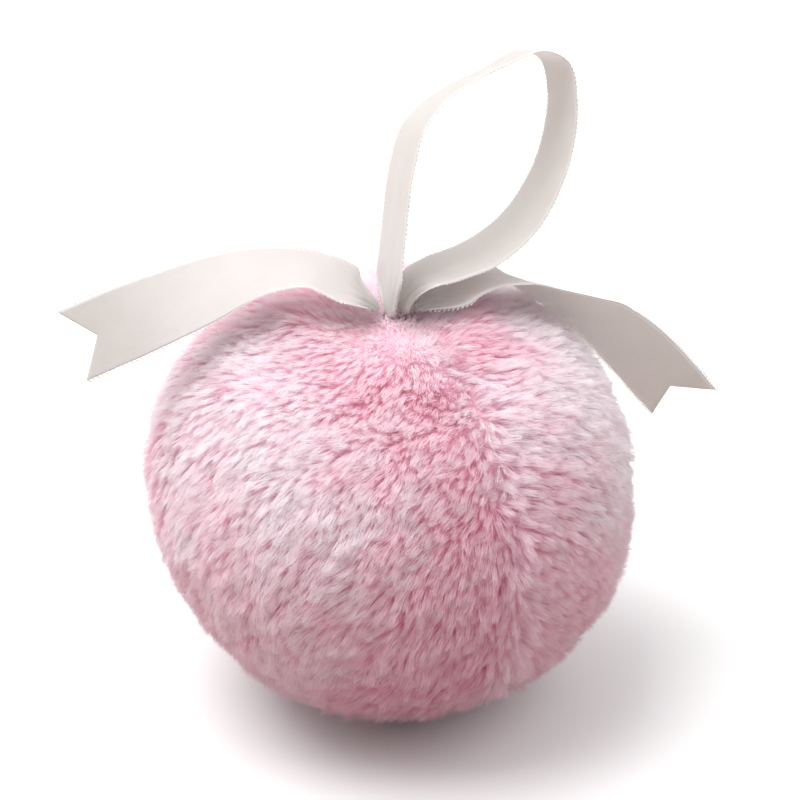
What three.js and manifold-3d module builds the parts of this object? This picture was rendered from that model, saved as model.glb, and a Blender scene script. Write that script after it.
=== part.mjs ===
// A plush powder puff with a satin hanging loop and two ribbon tails.
// Millimetres, +Z up. The origin is the centre of the flat underside, and -Y is the front.

import * as THREE from 'three';
import * as BufferGeometryUtils from 'three/addons/utils/BufferGeometryUtils.js';
import Module from 'manifold-3d';

const wasm = await Module();
wasm.setup();

// Plush ball, over the lying pile
const PUFF_DIAMETER = 85;
const CROWN_RISE = 38;
const BELLY_DROP = 40;
const REST_FLAT_DIAMETER = 23;
const SHOULDER_POWER = 2.25;
const BELLY_POWER = 2;
const PANEL_THICKNESS = 5;

// The left shoulder is stuffed fuller. Its turn is counted from the right, seen from above.
const SHOULDER_SWELL = 2.2;
const SHOULDER_TURN = THREE.MathUtils.degToRad(172);
const SHOULDER_LIFT = THREE.MathUtils.degToRad(31);
const SHOULDER_SPREAD = THREE.MathUtils.degToRad(32);

// Drawn-in mouth at the top, a little to the right of the ball's middle
const MOUTH_DIAMETER = 8.6;
const MOUTH_SHIFT = 1.2;
const DIMPLE_DEPTH = 2;
const DIMPLE_DIAMETER = 30;
const PLEAT_COUNT = 12;
const PLEAT_HEIGHT = 0.7;

// Seam between the two panels: an upright plane, turned from the front towards the right
const SEAM_TURN = THREE.MathUtils.degToRad(30);
const SEAM_OFFSET = 3;
const SEAM_DIP = 1.4;
const SEAM_DIP_WIDTH = 5;
const SEAM_DIP_START_HEIGHT = 8;
const SEAM_THREAD_DIAMETER = 0.8;
const SEAM_THREAD_DEPTH = 3.8;

// Threads at the mouth
const GATHER_THREAD_DIAMETER = 0.8;
const GATHER_THREAD_DEPTH = 2.4;
const TACK_DIAMETER = 7.4;
const TACK_TURN_DIAMETER = 1.2;
const TACK_TURNS = 4;
const TACK_STAND = 0.4;

// Satin ribbon
const RIBBON_WIDTH = 13;
const RIBBON_THICKNESS = 0.5;
const RIBBON_PLEATS = 8;
const FOOT_WIDTH = 4;
const FLARE_LENGTH = 10;
const NOTCH_DEPTH = 5;

// Hanging loop, drawn in its own plane, then turned and leaned back
const LOOP_RISE = 40;
const LOOP_REACH = 36;
const LOOP_TURN = THREE.MathUtils.degToRad(23);
const LOOP_LEAN = THREE.MathUtils.degToRad(23);
const LOOP_FOOT_SPREAD = 2.6;
const LOOP_STEPS = 64;
const LOOP_SHARES = [
  [-0.01, 0.2, 3],
  [0.05, 0.4, 3],
  [0.13, 0.64, 3],
  [0.24, 0.83, 4],
  [0.43, 0.94, 8],
  [0.67, 1.0, 9],
  [0.88, 1.04, 4],
  [0.99, 0.97, 1],
  [1.0, 0.8, 0],
  [0.95, 0.63, 2],
  [0.86, 0.47, 5],
  [0.68, 0.29, 8],
  [0.46, 0.175, 9],
  [0.25, 0.14, 5],
  [0.12, 0.12, 2],
];

// Left tail, which ends a little beyond the ball's side. The table holds shares of its reach to the
// left, back and up, and the ribbon's roll in degrees.
const LEFT_BEYOND_SIDE = 11.5;
const LEFT_BACK = 6;
const LEFT_LIFT = 5;
const LEFT_STEPS = 36;
const LEFT_SHARES = [
  [0.07, 0.2, 0.2, 0],
  [0.2, 0.95, 0.8, 3],
  [0.36, 0.8, 0.95, 14],
  [0.49, 0.55, 0.74, 20],
  [0.6, 0.15, 0.5, 27],
  [0.69, -0.2, 0.3, 33],
  [0.85, -0.85, -0.05, 50],
  [1.0, -1.5, -0.38, 55],
];

// Right tail, which hangs round the ball's side. The table holds shares of its reach to the right,
// back and down, and the ribbon's roll in degrees.
const RIGHT_BEYOND_SIDE = 6.5;
const RIGHT_SHORT_OF_BACK = 14.5;
const RIGHT_BELOW_MIDDLE = 3;
const RIGHT_STEPS = 44;
const RIGHT_SHARES = [
  [0.07, 0.09, 0.0, 0],
  [0.15, 0.2, -0.01, -2],
  [0.25, 0.29, -0.01, -6],
  [0.36, 0.34, 0.015, -13],
  [0.46, 0.41, 0.08, -21],
  [0.57, 0.51, 0.185, -28],
  [0.67, 0.63, 0.32, -40],
  [0.8, 0.78, 0.54, -54],
  [0.92, 0.9, 0.77, -60],
  [0.98, 0.95, 0.885, -60],
];

// Clearance between neighbours, and the overrun of a cutting solid
const GAP = 0.3;
const OVERRUN = 5;

// Mesh density
const PUFF_SIDES = 60;
const PUFF_RINGS = 21;
const LINING_SIDES = 36;
const LINING_RINGS = 12;
const ROUND_SIDES = 24;
const THREAD_CURVE_SEGMENTS = 3;
const THREAD_STEPS = 48;
const SEAM_ROUTE_STEPS = 10;
const TACK_TURN_STEPS = 3;

// Places worked out from the sizes above
const puffRadius = PUFF_DIAMETER / 2;
const mouthRadius = MOUTH_DIAMETER / 2;
const middleZ = BELLY_DROP * Math.sqrt(1 - (REST_FLAT_DIAMETER / PUFF_DIAMETER) ** 2);
const mouthZ = middleZ + CROWN_RISE - DIMPLE_DEPTH;
const tackTopZ = mouthZ + TACK_STAND;
const ribbonZ = tackTopZ + GAP;
const footRadius = FOOT_WIDTH / 2;
const cutReach = PUFF_DIAMETER + OVERRUN;
const leftReach = puffRadius + LEFT_BEYOND_SIDE;
const rightReach = puffRadius + RIGHT_BEYOND_SIDE;
const rightBack = puffRadius - RIGHT_SHORT_OF_BACK;
const rightDrop = CROWN_RISE + RIGHT_BELOW_MIDDLE;
const ballCentre = new THREE.Vector3(0, 0, middleZ);
const shoulderWay = new THREE.Vector3(Math.cos(SHOULDER_TURN), Math.sin(SHOULDER_TURN), 0)
  .multiplyScalar(Math.cos(SHOULDER_LIFT))
  .setZ(Math.sin(SHOULDER_LIFT));
const seamNormal = new THREE.Vector3(Math.cos(SEAM_TURN), Math.sin(SEAM_TURN), 0);
const seamForward = new THREE.Vector3(Math.sin(SEAM_TURN), -Math.cos(SEAM_TURN), 0);

// Half the height that a foot's folds take up, with the ribbon's own thickness
const pleatWidth = RIBBON_WIDTH / RIBBON_PLEATS;
const footFold = Math.sqrt(pleatWidth ** 2 - (FOOT_WIDTH / RIBBON_PLEATS) ** 2) / 2;
const footHalfHeight = footFold + RIBBON_THICKNESS / 2;

const satin = new THREE.MeshStandardMaterial({ color: 0xf4f1ea, roughness: 0.35, metalness: 0 });
const plush = new THREE.MeshStandardMaterial({ color: 0xf0bccb, roughness: 0.95, metalness: 0 });
const thread = new THREE.MeshStandardMaterial({ color: 0xf3d9df, roughness: 0.7, metalness: 0 });
const fibre = new THREE.MeshStandardMaterial({ color: 0xfafafa, roughness: 1, metalness: 0 });

function smooth(value) {
  return THREE.MathUtils.smoothstep(value, 0, 1);
}

// Turns a closed geometry into a solid that can be cut and joined.
function toSolid(geometry) {
  const bare = geometry.clone();
  for (const name of Object.keys(bare.attributes)) {
    if (name !== 'position') bare.deleteAttribute(name);
  }
  const merged = BufferGeometryUtils.mergeVertices(bare);
  return new wasm.Manifold(new wasm.Mesh({
    numProp: 3,
    vertProperties: new Float32Array(merged.attributes.position.array),
    triVerts: new Uint32Array(merged.index.array),
  }));
}

function toGeometry(solid) {
  const { vertProperties, triVerts } = solid.getMesh();
  const geometry = new THREE.BufferGeometry();
  geometry.setAttribute('position', new THREE.BufferAttribute(vertProperties, 3));
  geometry.setIndex(new THREE.BufferAttribute(triVerts, 1));
  return geometry;
}

function namedMesh(name, geometry, material) {
  geometry.computeVertexNormals();
  const mesh = new THREE.Mesh(geometry, material);
  mesh.name = name;
  return mesh;
}

// Skins a stack of equal rings, each counter-clockwise from above, and caps both ends.
function skinRings(rings) {
  const sides = rings[0].length;
  const points = rings.flat();
  const faces = [];
  for (let ring = 0; ring < rings.length - 1; ring += 1) {
    for (let side = 0; side < sides; side += 1) {
      const next = (side + 1) % sides;
      const low = ring * sides;
      const high = low + sides;
      faces.push(low + side, low + next, high + next);
      faces.push(low + side, high + next, high + side);
    }
  }
  const capCentre = (ring) => ring
    .reduce((sum, point) => sum.add(point), new THREE.Vector3())
    .divideScalar(sides);
  const bottom = points.push(capCentre(rings[0])) - 1;
  const top = points.push(capCentre(rings[rings.length - 1])) - 1;
  const lastRing = (rings.length - 1) * sides;
  for (let side = 0; side < sides; side += 1) {
    const next = (side + 1) % sides;
    faces.push(bottom, next, side);
    faces.push(top, lastRing + side, lastRing + next);
  }
  const geometry = new THREE.BufferGeometry().setFromPoints(points);
  geometry.setIndex(faces);
  return geometry;
}

// Radius and height of the ball at an angle from its widest ring, with its skin moved inwards.
function puffProfile(angle, inset) {
  const upper = angle > 0;
  const power = 2 / (upper ? SHOULDER_POWER : BELLY_POWER);
  const drop = (upper ? CROWN_RISE : BELLY_DROP) - inset;
  const radius = (puffRadius - inset) * Math.cos(angle) ** power;
  const rise = Math.sign(angle) * drop * Math.abs(Math.sin(angle)) ** power;
  const dimple = upper ? DIMPLE_DEPTH * (1 - smooth(2 * (radius - mouthRadius) / DIMPLE_DIAMETER)) : 0;
  return { radius, z: middleZ + rise - dimple };
}

// The mouth lies off the ball's middle, so the upper rings drift towards it.
function drift(z) {
  return z > middleZ ? MOUTH_SHIFT * ((z - middleZ) / CROWN_RISE) ** 2 : 0;
}

// How full the skin stands at a distance from the ball's axis: not at all at the mouth's rim.
function rimShare(radius) {
  return smooth((radius - mouthRadius) / mouthRadius);
}

// Moves a point of a skin outwards where the left shoulder is fuller.
function addShoulder(point, radius) {
  const outward = point.clone().sub(ballCentre).normalize();
  const away = outward.angleTo(shoulderWay) / SHOULDER_SPREAD;
  return point.addScaledVector(outward, SHOULDER_SWELL * rimShare(radius) * Math.exp(-(away ** 2)));
}

// Angles of the flat underside and of the mouth's rim on a skin that is moved inwards.
function skinSpan(inset) {
  const low = -Math.asin(Math.min((middleZ - inset) / (BELLY_DROP - inset), 1));
  const high = Math.acos((mouthRadius / (puffRadius - inset)) ** (SHOULDER_POWER / 2));
  return { low, high };
}

// The ball's skin as one closed solid, drawn in along the seam and pleated round the mouth.
function puffSkin(inset, sides, ringCount, { dressed }) {
  const { low, high } = skinSpan(inset);
  const rings = [];
  for (let step = 0; step <= ringCount; step += 1) {
    const { radius, z } = puffProfile(THREE.MathUtils.lerp(low, high, step / ringCount), inset);
    const ring = [];
    for (let side = 0; side < sides; side += 1) {
      const turn = (2 * Math.PI * side) / sides;
      const point = new THREE.Vector3(radius * Math.cos(turn), radius * Math.sin(turn), z);
      addShoulder(point, radius);
      if (dressed) {
        const fade = 1 - smooth(2 * (radius - mouthRadius) / DIMPLE_DIAMETER);
        const rim = rimShare(radius);
        if (z > middleZ) point.z += PLEAT_HEIGHT * fade * rim * Math.cos(PLEAT_COUNT * turn);
        const away = (point.dot(seamNormal) - SEAM_OFFSET) / SEAM_DIP_WIDTH;
        const dip = SEAM_DIP * Math.exp(-(away ** 2)) * smooth(z / SEAM_DIP_START_HEIGHT) * rim;
        const outward = point.clone().sub(ballCentre).normalize();
        point.addScaledVector(outward, -dip);
      }
      point.x += drift(z);
      ring.push(point);
    }
    rings.push(ring);
  }
  return skinRings(rings);
}

// A line that follows the seam under the skin, from one side of the mouth round to the other.
function seamRoute(inset) {
  const { low, high } = skinSpan(inset);
  const points = [];
  const lay = (angle, side) => {
    const { radius, z } = puffProfile(angle, inset);
    const along = side * Math.sqrt(Math.max(radius ** 2 - SEAM_OFFSET ** 2, 0));
    const point = seamNormal.clone().multiplyScalar(SEAM_OFFSET).addScaledVector(seamForward, along);
    point.set(point.x + drift(z) * seamForward.x ** 2, point.y, z);
    points.push(addShoulder(point, radius));
  };
  const hem = high - (2 * GATHER_THREAD_DEPTH) / puffRadius;
  for (let step = 0; step <= SEAM_ROUTE_STEPS; step += 1) {
    lay(THREE.MathUtils.lerp(hem, low, step / SEAM_ROUTE_STEPS), 1);
  }
  for (let step = 0; step <= SEAM_ROUTE_STEPS; step += 1) {
    lay(THREE.MathUtils.lerp(low, hem, step / SEAM_ROUTE_STEPS), -1);
  }
  return new THREE.CatmullRomCurve3(points, false, 'centripetal');
}

// A round tube along a route, closed at both ends.
function threadAlong(route, diameter) {
  const section = new THREE.Shape();
  section.absarc(0, 0, diameter / 2, 0, 2 * Math.PI);
  return new THREE.ExtrudeGeometry(section, {
    curveSegments: THREAD_CURVE_SEGMENTS,
    steps: THREAD_STEPS,
    extrudePath: route,
  });
}

// A block between two distances from the seam, as a cutting solid.
function seamBlock(from, to) {
  const block = new THREE.BoxGeometry(to - from, 2 * cutReach, 2 * cutReach);
  block.translate((from + to) / 2 + SEAM_OFFSET, 0, middleZ);
  block.rotateZ(SEAM_TURN);
  return toSolid(block);
}

// Both panels are cut from one hollow skin: the mouth, the hem's channel and the seam are cut out.
function makePanels() {
  const outside = toSolid(puffSkin(0, PUFF_SIDES, PUFF_RINGS, { dressed: true }));
  const lining = toSolid(puffSkin(PANEL_THICKNESS, LINING_SIDES, LINING_RINGS, { dressed: false }));
  const depth = PANEL_THICKNESS + DIMPLE_DEPTH + OVERRUN;
  const mouth = new THREE.CylinderGeometry(mouthRadius, mouthRadius, 2 * depth, ROUND_SIDES);
  mouth.rotateX(Math.PI / 2).translate(MOUTH_SHIFT, 0, mouthZ);
  const channel = toSolid(gatherRing(GATHER_THREAD_DIAMETER / 2 + GAP));
  const groove = toSolid(threadAlong(seamRoute(SEAM_THREAD_DEPTH), SEAM_THREAD_DIAMETER + 2 * GAP));
  const skin = outside.subtract(lining).subtract(toSolid(mouth)).subtract(channel).subtract(groove);
  return {
    left: skin.intersect(seamBlock(-cutReach, -GAP / 2)),
    right: skin.intersect(seamBlock(GAP / 2, cutReach)),
  };
}

// The drawn thread's ring in the mouth's hem.
function gatherRing(tubeRadius) {
  const ringRadius = mouthRadius + GATHER_THREAD_DIAMETER / 2;
  const ring = new THREE.TorusGeometry(ringRadius, tubeRadius, 2 * THREAD_CURVE_SEGMENTS, ROUND_SIDES);
  return ring.translate(MOUTH_SHIFT, 0, mouthZ - GATHER_THREAD_DEPTH);
}

function makeFilling() {
  return puffSkin(PANEL_THICKNESS + GAP, LINING_SIDES, LINING_RINGS, { dressed: false });
}

// The tack's stitches lie in turns on each other, from the filling up to the ribbon.
function makeTack() {
  const low = mouthZ - PANEL_THICKNESS;
  const turnHeight = (tackTopZ - low) / TACK_TURNS;
  const bulge = TACK_TURN_DIAMETER / 2;
  const outer = TACK_DIAMETER / 2;
  const profile = [new THREE.Vector2(0, low)];
  for (let turn = 0; turn < TACK_TURNS; turn += 1) {
    for (let step = 0; step < TACK_TURN_STEPS; step += 1) {
      const angle = (Math.PI * step) / TACK_TURN_STEPS;
      const z = low + turnHeight * (turn + step / TACK_TURN_STEPS);
      profile.push(new THREE.Vector2(outer - bulge + bulge * Math.sin(angle), z));
    }
  }
  profile.push(new THREE.Vector2(outer - bulge, tackTopZ));
  profile.push(new THREE.Vector2(0, tackTopZ));
  return new THREE.LatheGeometry(profile, ROUND_SIDES).rotateX(Math.PI / 2).translate(MOUTH_SHIFT, 0, 0);
}

// How wide the ribbon lies at a distance from a foot: folded small there, flat further out.
function laidWidth(distance) {
  return THREE.MathUtils.lerp(FOOT_WIDTH, RIBBON_WIDTH, smooth(distance / FLARE_LENGTH));
}

// A ribbon along a route, as a thin solid. It is folded lengthwise at its feet, and its length is
// trimmed line by line: round at a foot, so that it can turn there, and to a V at a free end.
function ribbonAlong(route, steps, { acrossAt, bothEndsAreFeet }) {
  const length = route.getLength();
  const columns = RIBBON_PLEATS + 1;
  const sides = [[], []];
  for (let step = 0; step <= steps; step += 1) {
    const share = step / steps;
    for (let column = 0; column < columns; column += 1) {
      const across = column / RIBBON_PLEATS - 1 / 2;
      const roundTrim = footRadius * (1 - Math.sqrt(Math.max(1 - (2 * across) ** 2, 0)));
      const notchTrim = NOTCH_DEPTH * (1 - 2 * Math.abs(across));
      const endTrim = bothEndsAreFeet ? roundTrim : notchTrim;
      const distance = THREE.MathUtils.lerp(roundTrim, length - endTrim, share);
      const at = distance / length;
      const centre = route.getPointAt(at);
      const along = route.getTangentAt(at);
      const toFoot = bothEndsAreFeet ? Math.min(distance, length - distance) : distance;
      const width = laidWidth(toFoot);
      const fold = Math.sqrt(Math.max(pleatWidth ** 2 - (width / RIBBON_PLEATS) ** 2, 0)) / 2;
      const acrossAxis = acrossAt(at, along);
      const facing = along.clone().cross(acrossAxis).normalize();
      centre.addScaledVector(acrossAxis, across * width);
      centre.addScaledVector(facing, column % 2 ? fold : -fold);
      sides[0].push(centre.clone().addScaledVector(facing, -RIBBON_THICKNESS / 2));
      sides[1].push(centre.clone().addScaledVector(facing, RIBBON_THICKNESS / 2));
    }
  }
  return skinSheet(sides, columns, steps);
}

// Closes two equal grids of points into one thin solid.
function skinSheet(sides, columns, steps) {
  const points = sides.flat();
  const upper = sides[0].length;
  const faces = [];
  const quad = (a, b, c, d) => faces.push(a, b, c, a, c, d);
  for (let step = 0; step < steps; step += 1) {
    const row = step * columns;
    const nextRow = row + columns;
    for (let column = 0; column < columns - 1; column += 1) {
      quad(row + column, row + column + 1, nextRow + column + 1, nextRow + column);
      quad(
        upper + row + column,
        upper + nextRow + column,
        upper + nextRow + column + 1,
        upper + row + column + 1,
      );
    }
    const last = columns - 1;
    quad(row, nextRow, upper + nextRow, upper + row);
    quad(row + last, upper + row + last, upper + nextRow + last, nextRow + last);
  }
  const end = steps * columns;
  for (let column = 0; column < columns - 1; column += 1) {
    quad(column, upper + column, upper + column + 1, column + 1);
    quad(end + column, end + column + 1, upper + end + column + 1, upper + end + column);
  }
  const geometry = new THREE.BufferGeometry().setFromPoints(points);
  geometry.setIndex(faces);
  return geometry;
}

// The roll at a place on a route, between the rolls given for its points.
function rollOf(route, rolls, at) {
  const place = route.getUtoTmapping(at) * (rolls.length - 1);
  const low = Math.min(Math.floor(place), rolls.length - 2);
  return THREE.MathUtils.degToRad(THREE.MathUtils.lerp(rolls[low], rolls[low + 1], place - low));
}

// The loop stands in its own XZ plane here, with the ribbon's width along Y at roll 0, and a
// positive roll turns its back edge into the loop.
function makeLoop() {
  const foot = LOOP_FOOT_SPREAD / 2;
  const points = [new THREE.Vector3(-foot, 0, 0)];
  points.push(new THREE.Vector3(-foot, 0, footRadius));
  for (const [reachShare, riseShare] of LOOP_SHARES) {
    points.push(new THREE.Vector3(reachShare * LOOP_REACH, 0, riseShare * LOOP_RISE));
  }
  points.push(new THREE.Vector3(foot, 0, footRadius));
  points.push(new THREE.Vector3(foot, 0, 0));
  const route = new THREE.CatmullRomCurve3(points, false, 'centripetal');
  const rolls = [0, 0, ...LOOP_SHARES.map((row) => row[2]), 0, 0];
  const acrossAt = (at, along) => {
    const back = new THREE.Vector3(0, 1, 0);
    return back.applyAxisAngle(along, -rollOf(route, rolls, at));
  };
  return ribbonAlong(route, LOOP_STEPS, { acrossAt, bothEndsAreFeet: true });
}

// A tail's width points level and back at roll 0, and a positive roll lifts its back edge.
function makeTail(shares, size, steps) {
  const points = [new THREE.Vector3(0, 0, 0)];
  for (const [reachShare, backShare, riseShare] of shares) {
    points.push(new THREE.Vector3(reachShare * size.x, backShare * size.y, riseShare * size.z));
  }
  const route = new THREE.CatmullRomCurve3(points, false, 'centripetal');
  const rolls = [0, ...shares.map((row) => row[3])];
  const hand = Math.sign(size.x);
  const acrossAt = (at, along) => {
    const level = new THREE.Vector3(-along.y, along.x, 0).multiplyScalar(hand).normalize();
    return level.applyAxisAngle(along, hand * rollOf(route, rolls, at));
  };
  return ribbonAlong(route, steps, { acrossAt, bothEndsAreFeet: false });
}

const puff = new THREE.Group();
const panels = makePanels();
puff.add(namedMesh('plush_panel_left', toGeometry(panels.left), plush));
puff.add(namedMesh('plush_panel_right', toGeometry(panels.right), plush));
puff.add(namedMesh('fibre_filling', makeFilling(), fibre));
puff.add(namedMesh('seam_thread', threadAlong(seamRoute(SEAM_THREAD_DEPTH), SEAM_THREAD_DIAMETER), thread));
puff.add(namedMesh('gathering_thread', gatherRing(GATHER_THREAD_DIAMETER / 2), thread));
puff.add(namedMesh('ribbon_tack', makeTack(), thread));

// The feet stand side by side on the tack, the loop's between the tails'.
const gather = new THREE.Group();
gather.position.set(MOUTH_SHIFT, 0, ribbonZ);
const loopPlane = new THREE.Group();
loopPlane.rotation.set(-LOOP_LEAN, 0, LOOP_TURN, 'ZXY');
loopPlane.position.z = footRadius;
const loop = namedMesh('ribbon_loop', makeLoop(), satin);
loop.position.z = -footRadius;
loopPlane.add(loop);
gather.add(loopPlane);

const footSpan = (LOOP_FOOT_SPREAD / 2 + footHalfHeight) * Math.cos(LOOP_TURN);
const tailStart = footSpan + footRadius * Math.sin(LOOP_TURN) + GAP;
const leftSize = { x: -leftReach, y: LEFT_BACK, z: LEFT_LIFT };
const leftTail = namedMesh('ribbon_tail_left', makeTail(LEFT_SHARES, leftSize, LEFT_STEPS), satin);
leftTail.position.set(-tailStart, 0, footHalfHeight);
const rightSize = { x: rightReach, y: rightBack, z: -rightDrop };
const rightTail = namedMesh('ribbon_tail_right', makeTail(RIGHT_SHARES, rightSize, RIGHT_STEPS), satin);
rightTail.position.set(tailStart, 0, footHalfHeight);
gather.add(leftTail, rightTail);

const powderPuff = new THREE.Group();
powderPuff.add(puff, gather);

export default powderPuff;
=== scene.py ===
"""Finished look of a round plush powder puff with a satin hanging loop and two ribbon tails.

Sizes in the dataclasses are in millimetres, but in metres in the fades of the pile, in the lamps and in the camera's
clipping. Meshes are built in metres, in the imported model's frame: +Z is up, -Y is the front, and the origin is the
middle of the flat underside.
"""

import logging
import math
from collections.abc import Sequence
from dataclasses import dataclass, field
from enum import Enum
from functools import cached_property
from typing import Any, NamedTuple

import bmesh
import bpy
import numpy as np
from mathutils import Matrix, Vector


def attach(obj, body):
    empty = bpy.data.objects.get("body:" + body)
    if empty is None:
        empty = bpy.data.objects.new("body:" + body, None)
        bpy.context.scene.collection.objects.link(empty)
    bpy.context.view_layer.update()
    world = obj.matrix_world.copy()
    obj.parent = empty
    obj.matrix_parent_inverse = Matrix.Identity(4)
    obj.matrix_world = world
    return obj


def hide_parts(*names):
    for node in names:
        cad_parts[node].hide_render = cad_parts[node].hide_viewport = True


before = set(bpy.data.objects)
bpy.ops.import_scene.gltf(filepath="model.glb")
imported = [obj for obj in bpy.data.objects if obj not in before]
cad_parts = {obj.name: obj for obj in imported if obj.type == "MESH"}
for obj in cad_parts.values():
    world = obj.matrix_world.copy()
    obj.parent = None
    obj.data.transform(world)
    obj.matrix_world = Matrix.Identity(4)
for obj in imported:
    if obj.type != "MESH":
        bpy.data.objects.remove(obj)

LOG = logging.getLogger("powder_puff")
MM = 0.001
SURFACE_MAP = "OFBake"
RIBBON_MAP_LENGTH = 160.0  # millimetres of ribbon in one unit of its map
RIBBON_MAP_BACK = 20.0  # millimetres from the front's place in the map to the back's
RIBBON_MAP_MARGIN = 2.0
RIBBON_MAP_START = 1.0
PILE_MAP_MARGIN = 0.02  # share of the pile's map left free at a strand's root and tip

Array = np.ndarray
Faces = Sequence[tuple[int, ...]]
Screen = tuple[int, int, int]
Place = tuple[float, float, float]
Shares = tuple[tuple[float, ...], ...]


class Body(Enum):
    """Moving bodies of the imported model."""

    PUFF = "puff"
    LOOP = "loop"
    LEFT_TAIL = "left_tail"
    RIGHT_TAIL = "right_tail"


class Slot(Enum):
    """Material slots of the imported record."""

    PLUSH = "plush"
    SATIN = "satin"
    THREAD = "thread"
    FIBRE = "fibre"


class RibbonEnd(Enum):
    """How a ribbon ends away from its foot."""

    SECOND_FOOT = "second foot"
    V_CUT = "v cut"


class Draw(Enum):
    """Seeds of the pile's random numbers, so that each quality of a strand is drawn on its own."""

    TUFT_TONE = 11
    STRAND_TONE = 12
    TUFT_REACH = 13
    STRAND_REACH = 14
    LOOSE = 15
    TUFT_LIFT = 16
    STRAND_LIFT = 17
    TWIST = 18
    STRAY = 19
    CROSSING = 20


class Fade(NamedTuple):
    """A number that eases from its first value to its last between two places."""

    begin: float
    end: float
    first: float = 0.0
    last: float = 1.0


class Lamp(NamedTuple):
    """A soft square lamp, in metres and watts."""

    name: str
    place: Place
    size: float
    power: float


def from_screen(colour: Screen) -> tuple[float, float, float, float]:
    """Turns a colour as a screen shows it into the renderer's linear colour.

    Args:
        colour: Red, green and blue from 0 to 255.

    Returns:
        Linear red, green and blue with an alpha of 1.
    """
    shares = [level / 255 for level in colour]
    linear = [c / 12.92 if c <= 0.04045 else ((c + 0.055) / 1.055) ** 2.4 for c in shares]
    return linear[0], linear[1], linear[2], 1.0


def eased(value: Any) -> Any:
    """Returns a smooth step from 0 to 1 of a number or an array."""
    held = np.clip(value, 0, 1)
    return held * held * (3 - 2 * held)


def unit(vectors: Array) -> Array:
    """Returns the vectors with a length of 1."""
    return vectors / np.maximum(np.linalg.norm(vectors, axis=-1, keepdims=True), 1e-9)


def run_of(line: Array) -> Array:
    """Returns how far along a line each of its points lies."""
    return np.concatenate([[0], np.cumsum(np.linalg.norm(np.diff(line, axis=0), axis=1))])


class Wire:
    """An output of a node, which lays further nodes when it is reckoned with."""

    def __init__(self, bench: "NodeBench", socket: bpy.types.NodeSocket) -> None:
        """Takes the bench that lays the nodes, and the output."""
        self.bench, self.socket = bench, socket
        self.is_vector = socket.type in ("VECTOR", "RGBA")

    def __add__(self, other: Any) -> "Wire":
        """Returns the sum with another value."""
        return self.bench.math("ADD", self, other)

    def __sub__(self, other: Any) -> "Wire":
        """Returns this value less another."""
        return self.bench.math("SUBTRACT", self, other)

    def __rsub__(self, other: Any) -> "Wire":
        """Returns another value less this one."""
        return self.bench.math("SUBTRACT", other, self)

    def __mul__(self, other: Any) -> "Wire":
        """Returns the product with another value."""
        return self.bench.math("MULTIPLY", self, other)

    def __truediv__(self, other: Any) -> "Wire":
        """Returns this value divided by another."""
        return self.bench.math("DIVIDE", self, other)


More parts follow.
